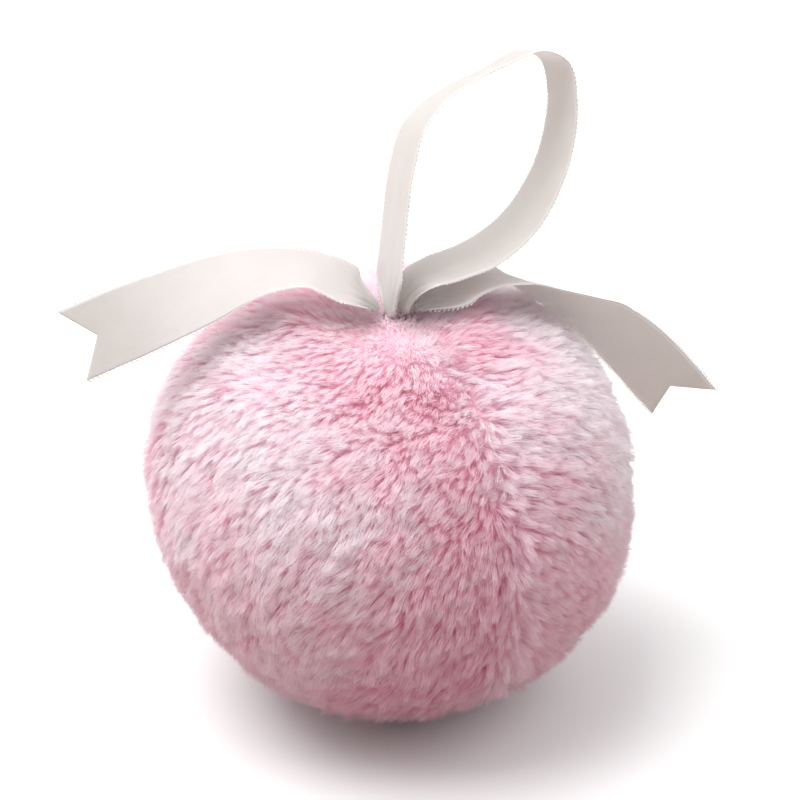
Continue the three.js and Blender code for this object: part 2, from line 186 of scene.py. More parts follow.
class NodeBench:
    """Lays and joins the nodes of one tree, for a material or for geometry."""

    def __init__(self, tree: bpy.types.NodeTree) -> None:
        """Takes an empty tree."""
        self.tree = tree

    def add(self, kind: str, inputs: dict[Any, Any] | None = None, **settings: Any) -> bpy.types.Node:
        """Lays one node.

        Args:
            kind: The node's type.
            inputs: Values or wires, by the input's name or number.
            settings: Properties of the node itself.

        Returns:
            The new node.
        """
        node = self.tree.nodes.new(kind)
        for key, value in settings.items():
            setattr(node, key, value)
        for key, value in (inputs or {}).items():
            if isinstance(value, Wire):
                self.tree.links.new(value.socket, node.inputs[key])
            else:
                node.inputs[key].default_value = value
        return node

    def wire(self, kind: str, inputs: dict[Any, Any] | None = None, output: Any = 0, **settings: Any) -> Wire:
        """Returns one output of a new node, by its name or number."""
        return Wire(self, self.add(kind, inputs, **settings).outputs[output])

    def math(self, operation: str, *values: Any) -> Wire:
        """Lays arithmetic on numbers, or on vectors where one of the values is a vector.

        Args:
            operation: The node's operation. A vector times a number is scaled by it.
            values: Numbers, tuples and wires.

        Returns:
            The result.
        """
        vectors = [value.is_vector if isinstance(value, Wire) else isinstance(value, tuple) for value in values]
        if not any(vectors):
            return self.wire("ShaderNodeMath", dict(enumerate(values)), operation=operation)
        if operation == "MULTIPLY" and not all(vectors):
            inputs = {0: values[vectors.index(True)], "Scale": values[vectors.index(False)]}
            return self.wire("ShaderNodeVectorMath", inputs, operation="SCALE")
        output = "Value" if operation in ("DOT_PRODUCT", "LENGTH") else "Vector"
        return self.wire("ShaderNodeVectorMath", dict(enumerate(values)), output, operation=operation)

    def mixed(self, factor: Any, first: Any, second: Any, kind: str = "RGBA") -> Wire:
        """Lays a mix of two colours or two vectors.

        Args:
            factor: Share of the second, from 0 to 1.
            first: The first one.
            second: The second one.
            kind: RGBA for colours and VECTOR for vectors.

        Returns:
            The mix.
        """
        start, output = {"VECTOR": (4, 1), "RGBA": (6, 2)}[kind]
        return self.wire("ShaderNodeMix", {0: factor, start: first, start + 1: second}, output, data_type=kind)

    def span(self, value: Wire, begin: Any, end: float, first: float = 0.0, last: float = 1.0) -> Wire:
        """Returns a number that eases from first to last while a value goes from begin to end."""
        inputs = {"Value": value, "From Min": begin, "From Max": end, "To Min": first, "To Max": last}
        return self.wire("ShaderNodeMapRange", inputs, interpolation_type="SMOOTHSTEP")

    def noise(self, place: Wire, scale: float, detail: float, output: Any = 0, distortion: float = 0.0) -> Wire:
        """Returns noise at a place, as a number from its first output or as a colour."""
        inputs = {"Vector": place, "Scale": scale, "Detail": detail, "Distortion": distortion}
        return self.wire("ShaderNodeTexNoise", inputs, output)

    def bump(self, height: Wire, strength: float, distance: float) -> Wire:
        """Returns the normal of a surface with a height from 0 to 1, whose relief is a distance in millimetres."""
        return self.wire("ShaderNodeBump", {"Height": height, "Strength": strength, "Distance": distance * MM})

    def ramp(self, factor: Wire, *stops: tuple[float, Screen]) -> Wire:
        """Lays a ramp of colours.

        Args:
            factor: The place on the ramp, from 0 to 1.
            stops: The place and the screen colour of each stop.

        Returns:
            The colour.
        """
        node = self.add("ShaderNodeValToRGB", {0: factor})
        elements = node.color_ramp.elements
        while len(elements) < len(stops):
            elements.new(1.0)
        for element, (place, colour) in zip(elements, stops):
            element.position, element.color = place, from_screen(colour)
        return Wire(self, node.outputs[0])

    def parts(self, vector: Wire) -> list[Wire]:
        """Returns the three numbers of a vector."""
        return [Wire(self, socket) for socket in self.add("ShaderNodeSeparateXYZ", {0: vector}).outputs]

    def attribute(self, name: str, is_vector: bool = False) -> Wire:
        """Returns a named attribute of the geometry."""
        kind = "FLOAT_VECTOR" if is_vector else "FLOAT"
        return self.wire("GeometryNodeInputNamedAttribute", {"Name": name}, "Attribute", data_type=kind)

    def keep(self, geometry: Wire, name: str, value: Wire) -> Wire:
        """Makes each point of geometry keep a value.

        Args:
            geometry: The points.
            name: The attribute's name.
            value: The value, a number or a vector.

        Returns:
            The geometry with the attribute.
        """
        inputs = {"Geometry": geometry, "Name": name, "Value": value}
        kind = "FLOAT_VECTOR" if value.is_vector else "FLOAT"
        return self.wire("GeometryNodeStoreNamedAttribute", inputs, data_type=kind, domain="POINT")

    def chance(self, low: float, high: float, number: Wire, draw: Draw) -> Wire:
        """Returns a random number between two, which stays the same for each number and draw."""
        inputs = {2: low, 3: high, "ID": number, "Seed": draw.value}
        return self.wire("FunctionNodeRandomValue", inputs, 1, data_type="FLOAT")


@dataclass(frozen=True)
class Finish:
    """A finish of one surface, which may let part of the light through."""

    name: str
    through: float = 0.0

    def surface(self, bench: NodeBench) -> dict[str, Any]:
        """Returns the inputs of the surface's shader, which each finish lays in its own way."""
        raise NotImplementedError(self.name)

    def build(self) -> bpy.types.Material:
        """Makes the material.

        Returns:
            The material.
        """
        material = bpy.data.materials.new(self.name)
        material.use_nodes = True
        material.node_tree.nodes.clear()
        bench = NodeBench(material.node_tree)
        inputs = self.surface(bench)
        shader = bench.wire("ShaderNodeBsdfPrincipled", inputs)
        if self.through:
            behind = bench.wire("ShaderNodeBsdfTranslucent", {"Color": inputs["Base Color"]})
            shader = bench.wire("ShaderNodeMixShader", {0: self.through, 1: shader, 2: behind})
        bench.add("ShaderNodeOutputMaterial", {"Surface": shader})
        return material


@dataclass(frozen=True)
class PileFinish(Finish):
    """Pink plush fibre in two tones: deeper at the root, as painted shade, and pale at the tip, as a painted highlight.
    """

    name: str = "plush_pile"
    through: float = 0.5
    stops: tuple[float, ...] = (0.0, 0.4, 0.85)
    dull: tuple[Screen, ...] = ((252, 188, 208), (254, 216, 231), (255, 240, 247))
    bright: tuple[Screen, ...] = ((255, 236, 245), (255, 250, 253), (255, 254, 255))
    roughness: float = 0.6
    gloss: float = 0.3

    def surface(self, bench: NodeBench) -> dict[str, Any]:
        """Lays the fibre's colours, which read its tone and the height along it from its map.

        Args:
            bench: The material's bench.

        Returns:
            Inputs of the surface's shader.
        """
        tone, rise, _ = bench.parts(bench.wire("ShaderNodeUVMap", uv_map=SURFACE_MAP))
        # Each ramp runs from painted shade at the root to a painted highlight at the tip, over the fibre's own pink.
        dull, bright = (bench.ramp(rise, *zip(self.stops, colours)) for colours in (self.dull, self.bright))
        colour = bench.mixed(tone, dull, bright)
        return {"Base Color": colour, "Roughness": self.roughness, "Specular IOR Level": self.gloss}


@dataclass(frozen=True)
class KnitFinish(Finish):
    """Knitted ground of the plush, seen only where the pile parts."""

    name: str = "plush_ground"
    light: Screen = (254, 214, 226)
    dark: Screen = (240, 180, 198)
    wale: float = 0.9
    mottle_scale: float = 90.0
    mottle_detail: float = 4.0
    mottle_base: float = 0.4
    stops: tuple[float, float] = (0.1, 0.7)
    bump_strength: float = 0.5
    relief: float = 0.3
    roughness: float = 0.95

    def surface(self, bench: NodeBench) -> dict[str, Any]:
        """Lays knitted wales on Object coordinates.

        Args:
            bench: The material's bench.

        Returns:
            Inputs of the surface's shader.
        """
        place = bench.wire("ShaderNodeTexCoord", output="Object")
        wales = bench.wire("ShaderNodeTexVoronoi", {"Vector": place, "Scale": 1 / (self.wale * MM)}, "Distance")
        shade = wales * (bench.noise(place, self.mottle_scale, self.mottle_detail) + self.mottle_base)
        colour = bench.ramp(shade, *zip(self.stops, (self.light, self.dark)))
        bump = bench.bump(wales, self.bump_strength, self.relief)
        return {"Base Color": colour, "Roughness": self.roughness, "Normal": bump}


@dataclass(frozen=True)
class SatinFinish(Finish):
    """White satin: fine warp floats along the ribbon and a plain woven selvage, streaked with painted sheen and shade.
    """

    name: str = "white_satin"
    through: float = 0.5
    face: Screen = (240, 238, 235)
    # The fold colour is painted shade between streaks of painted sheen in the face colour.
    fold: Screen = (234, 232, 229)
    selvage: Screen = (252, 251, 250)
    warp_pitch: float = 0.16
    weft_pitch: float = 0.3
    width: float = 13.0
    selvage_width: float = 0.5
    selvage_blur: float = 0.12
    selvage_cover: float = 0.8
    streak_stretch: Place = (6.0, 0.25, 1.0)
    streak_detail: float = 3.0
    streak_shade: float = 0.7
    cloud_scale: float = 0.12
    cloud_detail: float = 2.0
    cloud_shade: float = 0.5
    shade_fade: tuple[float, float] = (0.35, 0.85)
    warp_rise: float = 0.5
    weft_rise: float = 0.15
    selvage_rise: float = 1.5
    streak_rise: float = 0.5
    bump_strength: float = 0.35
    roughness: float = 0.34
    streak_roughness: float = 0.14
    gloss: float = 0.45
    sheen: float = 0.08
    sheen_roughness: float = 0.3
    relief: float = 0.03

    def surface(self, bench: NodeBench) -> dict[str, Any]:
        """Lays the weave, which reads millimetres across and along from the ribbon's map.

        Args:
            bench: The material's bench.

        Returns:
            Inputs of the surface's shader.
        """
        place = bench.wire("ShaderNodeUVMap", uv_map=SURFACE_MAP) * RIBBON_MAP_LENGTH
        across, along, _ = bench.parts(place)
        across = bench.math("MODULO", across, RIBBON_MAP_BACK)
        warp = bench.math("SINE", across * (2 * math.pi / self.warp_pitch))
        weft = bench.math("SINE", along * (2 * math.pi / self.weft_pitch))
        streaks = bench.noise(place * self.streak_stretch, 1.0, self.streak_detail)
        clouds = bench.noise(place, self.cloud_scale, self.cloud_detail)
        half = self.width / 2
        to_edge = half - bench.math("ABSOLUTE", across - (half + RIBBON_MAP_MARGIN))
        selvage = bench.span(to_edge, self.selvage_width + self.selvage_blur, self.selvage_width - self.selvage_blur)
        # Painted sheen and shade: streaks and clouds mix the face colour with the darker fold colour.
        lit = bench.span(streaks * self.streak_shade + clouds * self.cloud_shade, *self.shade_fade)
        cloth = bench.mixed(lit, from_screen(self.fold), from_screen(self.face))
        weave = warp * self.warp_rise + weft * (selvage * self.selvage_rise + self.weft_rise)
        weave = weave + streaks * self.streak_rise
        return {
            "Base Color": bench.mixed(selvage * self.selvage_cover, cloth, from_screen(self.selvage)),
            "Roughness": (streaks + selvage) * self.streak_roughness + self.roughness,
            "Specular IOR Level": self.gloss,
            "Sheen Weight": self.sheen,
            "Sheen Roughness": self.sheen_roughness,
            "Normal": bench.bump(weave, self.bump_strength, self.relief),
        }


@dataclass(frozen=True)
class FibreFinish(Finish):
    """Spun thread or loose wadding: fibres in two shades, on Object coordinates."""

    name: str = "sewing_thread"
    light: Screen = (247, 222, 230)
    dark: Screen = (214, 164, 180)
    fibre_scale: float = 6000.0
    fibre_detail: float = 4.0
    tangle: float = 0.0
    wear_scale: float = 260.0
    wear_detail: float = 2.0
    stops: tuple[float, float] = (0.3, 0.65)
    roughness: float = 0.75
    sheen: float = 0.3
    bump_strength: float = 0.6
    relief: float = 0.08

    def surface(self, bench: NodeBench) -> dict[str, Any]:
        """Lays the fibres, which also wear in patches where the finish has a wear scale.

        Args:
            bench: The material's bench.

        Returns:
            Inputs of the surface's shader.
        """
        place = bench.wire("ShaderNodeTexCoord", output="Object")
        fibres = bench.noise(place, self.fibre_scale, self.fibre_detail, distortion=self.tangle)
        shade = fibres
        if self.wear_scale:
            shade = (fibres + bench.noise(place, self.wear_scale, self.wear_detail)) * 0.5
        return {
            "Base Color": bench.ramp(shade, *zip(self.stops, (self.dark, self.light))),
            "Roughness": self.roughness,
            "Sheen Weight": self.sheen,
            "Normal": bench.bump(fibres, self.bump_strength, self.relief),
        }


SEWING_THREAD = FibreFinish()
PICOT_THREAD = FibreFinish("picot_thread", light=(246, 244, 240), dark=(205, 201, 194))
WADDING = FibreFinish(
    "wadding", light=(250, 250, 248), dark=(222, 221, 218), fibre_scale=900.0, fibre_detail=6.0, tangle=2.0,
    wear_scale=0.0, stops=(0.35, 0.65), roughness=1.0, sheen=0.4, bump_strength=0.8, relief=0.6,
)


def place_mesh(name: str, mesh: bpy.types.Mesh) -> bpy.types.Object:
    """Puts a mesh into the scene as an object at the origin.

    Args:
        name: The object's name.
        mesh: The mesh, already in its place.

    Returns:
        The new object.
    """
    mesh.name = name
    made = bpy.data.objects.new(name, mesh)
    bpy.context.scene.collection.objects.link(made)
    return made


def made_of(name: str, points: Array | Sequence[Any], faces: Faces = (), edges: Faces = ()) -> bpy.types.Object:
    """Makes an object of smooth-shaded faces, or of edges for a tree to follow.

    Args:
        name: The object's name.
        points: Its points in millimetres.
        faces: Its faces, as rows of point numbers.
        edges: Its edges, as pairs of point numbers.

    Returns:
        The new object.
    """
    mesh = bpy.data.meshes.new(name)
    mesh.from_pydata([tuple(p) for p in np.asarray(points) * MM], edges, faces)
    mesh.shade_smooth()
    mesh.update()
    return place_mesh(name, mesh)


def points_of(mesh: bpy.types.Mesh) -> Array:
    """Reads the points of a mesh.

    Args:
        mesh: The mesh.

    Returns:
        The points in metres, one to a row.
    """
    flat = np.empty(len(mesh.vertices) * 3)
    mesh.vertices.foreach_get("co", flat)
    return flat.reshape(-1, 3)


def apply_all(piece: bpy.types.Object) -> None:
    """Turns an object's modifiers into its plain mesh.

    Args:
        piece: The object.
    """
    old = piece.data
    depsgraph = bpy.context.evaluated_depsgraph_get()
    mesh = bpy.data.meshes.new_from_object(piece.evaluated_get(depsgraph), depsgraph=depsgraph)
    piece.modifiers.clear()
    piece.data = mesh
    bpy.data.meshes.remove(old)


def drop(*objects: bpy.types.Object) -> None:
    """Removes helper objects from the scene."""
    for helper in objects:
        bpy.data.objects.remove(helper, do_unlink=True)


def open_tree(name: str, values: dict[str, Any]) -> tuple[NodeBench, dict[str, Wire]]:
    """Starts a geometry tree with named inputs.

    Args:
        name: The tree's name.
        values: A first value of each input after the geometry, which gives the input its type.

    Returns:
        The bench for the tree, and its inputs by name.
    """
    kinds = {float: "Float", int: "Int", tuple: "Vector", bpy.types.Object: "Object", bpy.types.Material: "Material"}
    tree = bpy.data.node_groups.new(name, "GeometryNodeTree")
    tree.interface.new_socket("Geometry", in_out="INPUT", socket_type="NodeSocketGeometry")
    for title, value in values.items():
        kind = next(word for base, word in kinds.items() if isinstance(value, base))
        tree.interface.new_socket(title, in_out="INPUT", socket_type=f"NodeSocket{kind}")
    tree.interface.new_socket("Geometry", in_out="OUTPUT", socket_type="NodeSocketGeometry")
    bench = NodeBench(tree)
    given = bench.add("NodeGroupInput").outputs
    return bench, {title: Wire(bench, given[title]) for title in ("Geometry", *values)}


def close_tree(bench: NodeBench, geometry: Wire, material: Wire) -> bpy.types.NodeTree:
    """Ends a geometry tree in real faces with their material.

    Args:
        bench: The tree's bench.
        geometry: What the tree has made.
        material: The material to set.

    Returns:
        The finished tree.
    """
    real = bench.wire("GeometryNodeRealizeInstances", {0: geometry})
    dressed = bench.wire("GeometryNodeSetMaterial", {"Geometry": real, "Material": material})
    bench.add("NodeGroupOutput", {0: dressed})
    return bench.tree


def grown(source: bpy.types.Object, tree: bpy.types.NodeTree, values: dict[str, Any], name: str) -> bpy.types.Object:
    """Runs a geometry tree on an object and keeps the result as a plain mesh.

    Args:
        source: The object that the tree starts from, which stays as it is.
        tree: The geometry tree.
        values: Values for the tree's inputs, by name.
        name: The new object's name.

    Returns:
        The new object, at the origin.
    """
    modifier = source.modifiers.new(name, "NODES")
    modifier.node_group = tree
    for item in tree.interface.items_tree:
        if item.item_type == "SOCKET" and item.in_out == "INPUT" and item.name in values:
            modifier[item.identifier] = values[item.name]
    depsgraph = bpy.context.evaluated_depsgraph_get()
    mesh = bpy.data.meshes.new_from_object(source.evaluated_get(depsgraph), depsgraph=depsgraph)
    source.modifiers.remove(modifier)
    return place_mesh(name, mesh)


def stand_in(piece: bpy.types.Object, body: Body, slot: Slot, *nodes: str) -> bpy.types.Object:
    """Gives a finished piece its body, and hides the solids that it stands for.

    Args:
        piece: The finished piece.
        body: The body that it rides on.
        slot: The record's material slot; not used.
        nodes: The nodes that it replaces.

    Returns:
        The piece.
    """
    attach(piece, body.value)
    if nodes:
        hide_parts(*nodes)
    LOG.info("%s: %d faces on %s", piece.name, len(piece.data.polygons), body.value)
    return piece


@dataclass
class PlushBall:
    """The stuffed ball: two plush panels sewn round a filling and drawn in at a mouth."""

    diameter: float = 85.0
    crown_rise: float = 38.0
    belly_drop: float = 40.0
    rest_flat: float = 23.0
    shoulder_power: float = 2.4
    belly_power: float = 2.0
    shoulder_swell: float = 2.2
    shoulder_turn: float = math.radians(172)
    shoulder_lift: float = math.radians(33)
    shoulder_spread: float = math.radians(27)
    belly_shift: float = 1.3
    mouth_diameter: float = 8.6
    mouth_shift: float = 1.2
    dimple_depth: float = 2.0
    dimple_diameter: float = 30.0
    pleats: int = 12
    pleat_height: float = 0.7
    seam_turn: float = math.radians(30)
    seam_offset: float = 3.0
    seam_overlap: float = 0.01
    seam_dip: float = 0.35
    seam_dip_width: float = 4.0
    seam_dip_fade: float = 0.6
    pile_depth: float = 1.7
    hem_rise: float = 1.1
    hem_plateau: float = 9.0
    hem_reach: float = 20.0
    ground_grid: tuple[int, int] = (64, 40)
    ground_thickness: float = 1.0
    filling_depth: float = 5.3
    filling_grid: tuple[int, int] = (48, 28)
    filling_lumps: float = 0.02
    lump_waves: Place = (0.31, 0.27, 0.23)
    rest_height: float = 0.5
    swell: float = 1.2
    swell_percentile: float = 95.0
    voxel: float = 4.0
    pressure: float = 30.0
    frames: int = 20

    @property
    def middle(self) -> float:
        """Height of the widest ring."""
        return self.belly_drop * math.sqrt(1 - (self.rest_flat / self.diameter) ** 2)

    @property
    def centre(self) -> Array:
        """Middle of the widest ring."""
        return np.array([0, 0, self.middle])

    @property
    def mouth(self) -> Array:
        """Middle of the drawn-in mouth."""
        return np.array([self.mouth_shift, 0.0, self.middle + self.crown_rise - self.dimple_depth])

    @property
    def seam_normal(self) -> Array:
        """Direction across the seam, from the left panel to the right one."""
        return np.array([math.cos(self.seam_turn), math.sin(self.seam_turn), 0.0])

    def profile(self, angle: float, inset: float) -> tuple[float, float]:
        """Returns the skin's radius and height at an angle from the widest ring.

        Args:
            angle: Angle in radians, above or below the widest ring.
            inset: How far the skin lies inside the pile's outer surface.

        Returns:
            Radius and height in millimetres.
        """
        upper = angle > 0
        power = 2 / (self.shoulder_power if upper else self.belly_power)
        reach = (self.crown_rise if upper else self.belly_drop) - inset
        radius = (self.diameter / 2 - inset) * math.cos(angle) ** power
        height = self.middle + math.copysign(reach * abs(math.sin(angle)) ** power, angle)
        if upper:
            from_mouth = radius - self.mouth_diameter / 2
            height -= self.dimple_depth * (1 - eased(2 * from_mouth / self.dimple_diameter))
        return radius, height

    def span(self, inset: float) -> tuple[float, float]:
        """Finds the angles between which a skin lies.

        Args:
            inset: How far the skin lies inside the pile's outer surface.

        Returns:
            Angles at the underside and at the mouth's rim.
        """
        rim = self.mouth_diameter / (self.diameter - 2 * inset)
        low = -math.asin(min((self.middle - inset) / (self.belly_drop - inset), 1))
        return low, math.acos(rim ** (self.shoulder_power / 2))

    def drift(self, height: float) -> float:
        """Returns how far the skin at a height lies towards the mouth's side."""
        return self.mouth_shift * (max(height - self.middle, 0) / self.crown_rise) ** 2

    def seam_line(self, depth: float, hem: float, steps: int) -> Array:
        """Lays a line that follows the seam under the skin, from one side of the mouth to the other.

        Args:
            depth: How deep the line lies.
            hem: How far it ends from the mouth's rim.
            steps: Steps down and up again.

        Returns:
            The line's points in millimetres.
        """
        low, high = self.span(depth)
        forward = np.array([math.sin(self.seam_turn), -math.cos(self.seam_turn), 0.0])
        line = []
        for place in np.linspace(0, 2, 2 * steps + 1):
            angle = high - hem / self.diameter * 2 - (high - low) * (1 - abs(1 - place))
            radius, height = self.profile(max(angle, low), depth)
            along = math.copysign(math.sqrt(max(radius**2 - self.seam_offset**2, 0)), 1 - place)
            point = self.seam_normal * self.seam_offset + forward * along
            point += np.array([self.drift(height) * forward[0] ** 2, 0, height])
            line.append(self.with_shoulder(point[None], radius)[0])
        return np.array(line)

    def skin(self, inset: float, sides: int, rings: int) -> tuple[Array, Faces]:
        """Lays the ball's skin as stacked rings with closed ends.

        Args:
            inset: How far the skin lies inside the pile's outer surface.
            sides: Points in a ring.
            rings: Bands from the underside to the mouth.

        Returns:
            Points in millimetres and faces.
        """
        turn = np.linspace(0, 2 * math.pi, sides, endpoint=False)
        points, faces = [], []
        for angle in np.linspace(*self.span(inset), rings + 1):
            radius, z = self.profile(float(angle), inset)
            ring = np.stack([radius * np.cos(turn), radius * np.sin(turn), np.full(sides, z)], 1)
            points.append(self.with_shoulder(ring, radius) + np.array([self.drift(z), 0, 0]))
        for ring in range(rings):
            for side in range(sides):
                low, next_low = ring * sides + side, ring * sides + (side + 1) % sides
                faces.append((low, next_low, next_low + sides, low + sides))
        faces += [tuple(reversed(range(sides))), tuple(rings * sides + side for side in range(sides))]
        return np.concatenate(points), faces

    def with_shoulder(self, points: Array, radius: float) -> Array:
        """Moves a ring of the skin outwards where the left shoulder is stuffed fuller.

        Args:
            points: The ring's points in millimetres.
            radius: The ring's radius, which lets the swell fade at the mouth.

        Returns:
            The moved points.
        """
        flat = math.cos(self.shoulder_lift)
        way = [flat * math.cos(self.shoulder_turn), flat * math.sin(self.shoulder_turn), math.sin(self.shoulder_lift)]
        outward = unit(points - self.centre)
        away = np.arccos(np.clip(outward @ np.array(way), -1, 1)) / self.shoulder_spread
        share = float(eased(2 * radius / self.mouth_diameter - 1))
        return points + outward * (self.shoulder_swell * share * np.exp(-(away**2)))[:, None]

    def pressed(self, ball: bpy.types.Object) -> Array:
        """Lets the filling press on the ground from inside, with the rest held still.

        Args:
            ball: The ground, as closed cloth.

        Returns:
            The places that its points move to, in metres.
        """
        start = points_of(ball.data)
        held = ball.vertex_groups.new(name="held")
        for number in np.flatnonzero(start[:, 2] < self.voxel * MM):
            held.add([int(number)], 1.0, "REPLACE")
        cloth = ball.modifiers.new("filling_pressure", "CLOTH")
        cloth.settings.use_pressure = True
        cloth.settings.uniform_pressure_force = self.pressure
        cloth.settings.effector_weights.gravity = 0
        cloth.settings.vertex_group_mass = held.name
        cloth.point_cache.frame_start, cloth.point_cache.frame_end = 1, self.frames
        for step in range(1, self.frames + 1):
            bpy.context.scene.frame_set(step)
        apply_all(ball)
        bpy.context.scene.frame_set(1)
        move = points_of(ball.data) - start
        size = np.linalg.norm(move, axis=1, keepdims=True)
        LOG.info("filling pressure moved the ground by up to %.2f mm", size.max() / MM)
        limit = self.swell * MM
        move *= limit / np.percentile(size, self.swell_percentile)
        move *= np.minimum(1, limit / np.maximum(np.linalg.norm(move, axis=1, keepdims=True), 1e-9))
        return start + move

    def swollen(self) -> bpy.types.Object:
        """Makes the stuffed ground fabric, swollen by its filling and drawn in at the seam and the mouth.

        Returns:
            The ground of the whole ball.
        """
        points, faces = self.skin(self.pile_depth + self.swell, *self.ground_grid)
        ball = made_of("stuffed_ground", points, faces)
        remesh = ball.modifiers.new("voxels", "REMESH")
        remesh.mode, remesh.voxel_size = "VOXEL", self.voxel * MM
        apply_all(ball)
        swollen = self.pressed(ball)
        ball.data.vertices.foreach_set("co", swollen.ravel())
        finer = ball.modifiers.new("finer", "SUBSURF")
        finer.levels = finer.render_levels = 1
        apply_all(ball)
        self.gather(ball.data)
        return ball

    def gather(self, mesh: bpy.types.Mesh) -> None:
        """Presses the seam's dip and the mouth's pleats into the ground, and sets it on its rest.

        Args:
            mesh: The ground's mesh.
        """
        points = points_of(mesh) / MM
        from_mouth = np.linalg.norm((points - self.mouth)[:, :2], axis=1) - self.mouth_diameter / 2
        upper = points[:, 2] > self.middle
        fade = np.where(upper, 1 - eased(2 * from_mouth / self.dimple_diameter), 0)
        past_plateau = (from_mouth - self.hem_plateau) / (self.hem_reach - self.hem_plateau)
        points[:, 2] += np.where(upper, self.hem_rise * (1 - eased(past_plateau)), 0)
        turn = np.arctan2(points[:, 1], points[:, 0] - self.mouth_shift)
        pleat = self.pleat_height * fade * eased(from_mouth / self.mouth_diameter * 2)
        points[:, 2] += pleat * np.cos(self.pleats * turn)
        away = (points @ self.seam_normal - self.seam_offset) / self.seam_dip_width
        dip = self.seam_dip * np.exp(-(away**2)) * (1 - self.seam_dip_fade * fade)
        points -= unit(points - self.centre) * dip[:, None]
        below = np.clip((self.middle - points[:, 2]) / self.middle, 0, 1)
        points[:, 0] += self.belly_shift * np.sin(math.pi * below)
        points[:, 2] = np.maximum(points[:, 2], self.rest_height)
        mesh.vertices.foreach_set("co", (points * MM).ravel())
        mesh.update()

    def panel(self, ball: bpy.types.Object, side: int, name: str) -> bpy.types.Object:
        """Cuts one panel's open skin from the stuffed ball.

        Args:
            ball: The stuffed ball.
            side: -1 for the left panel and 1 for the right one.
            name: The panel's name.

        Returns:
            The panel as an open skin.
        """
        shape = bmesh.new()
        shape.from_mesh(ball.data)
        normal = self.seam_normal * side
        place = self.seam_normal * (self.seam_offset + self.seam_overlap * side) * MM
        everything = shape.verts[:] + shape.edges[:] + shape.faces[:]
        bmesh.ops.bisect_plane(shape, geom=everything, plane_co=place, plane_no=normal, clear_inner=True)
        mesh = bpy.data.meshes.new(name)
        shape.to_mesh(mesh)
        shape.free()
        mesh.shade_smooth()
        return place_mesh(name, mesh)

    def filling(self, wadding: bpy.types.Material) -> None:
        """Makes the fibre filling, a ball with soft lumps.

        Args:
            wadding: Finish of the filling.
        """
        points, faces = self.skin(self.filling_depth, *self.filling_grid)
        wave = np.prod(np.sin(points * self.lump_waves + np.arange(3)), axis=1)
        points = self.centre + (points - self.centre) * (1 - self.filling_lumps * np.abs(wave))[:, None]
        filling = made_of("wadding_ball", points, faces)
        filling.data.materials.append(wadding)
        stand_in(filling, Body.PUFF, Slot.FIBRE, "fibre_filling")

    def build(self, knit: bpy.types.Material, wadding: bpy.types.Material) -> dict[int, bpy.types.Object]:
        """Makes the two ground panels and the filling.

        Args:
            knit: Finish of the ground.
            wadding: Finish of the filling.

        Returns:
            The panels' open skins by side, for the pile to grow on.
        """
        ball = self.swollen()
        skins = {}
        for side, word in ((-1, "left"), (1, "right")):
            skins[side] = self.panel(ball, side, f"skin_{word}")
            ground = self.panel(ball, side, f"ground_{word}")
            ground.data.materials.clear()
            ground.data.materials.append(knit)
            wall = ground.modifiers.new("wall", "SOLIDIFY")
            wall.thickness, wall.offset = self.ground_thickness * MM, -1
            apply_all(ground)
            stand_in(ground, Body.PUFF, Slot.PLUSH, f"plush_panel_{word}")
        drop(ball)
        self.filling(wadding)
        return skins


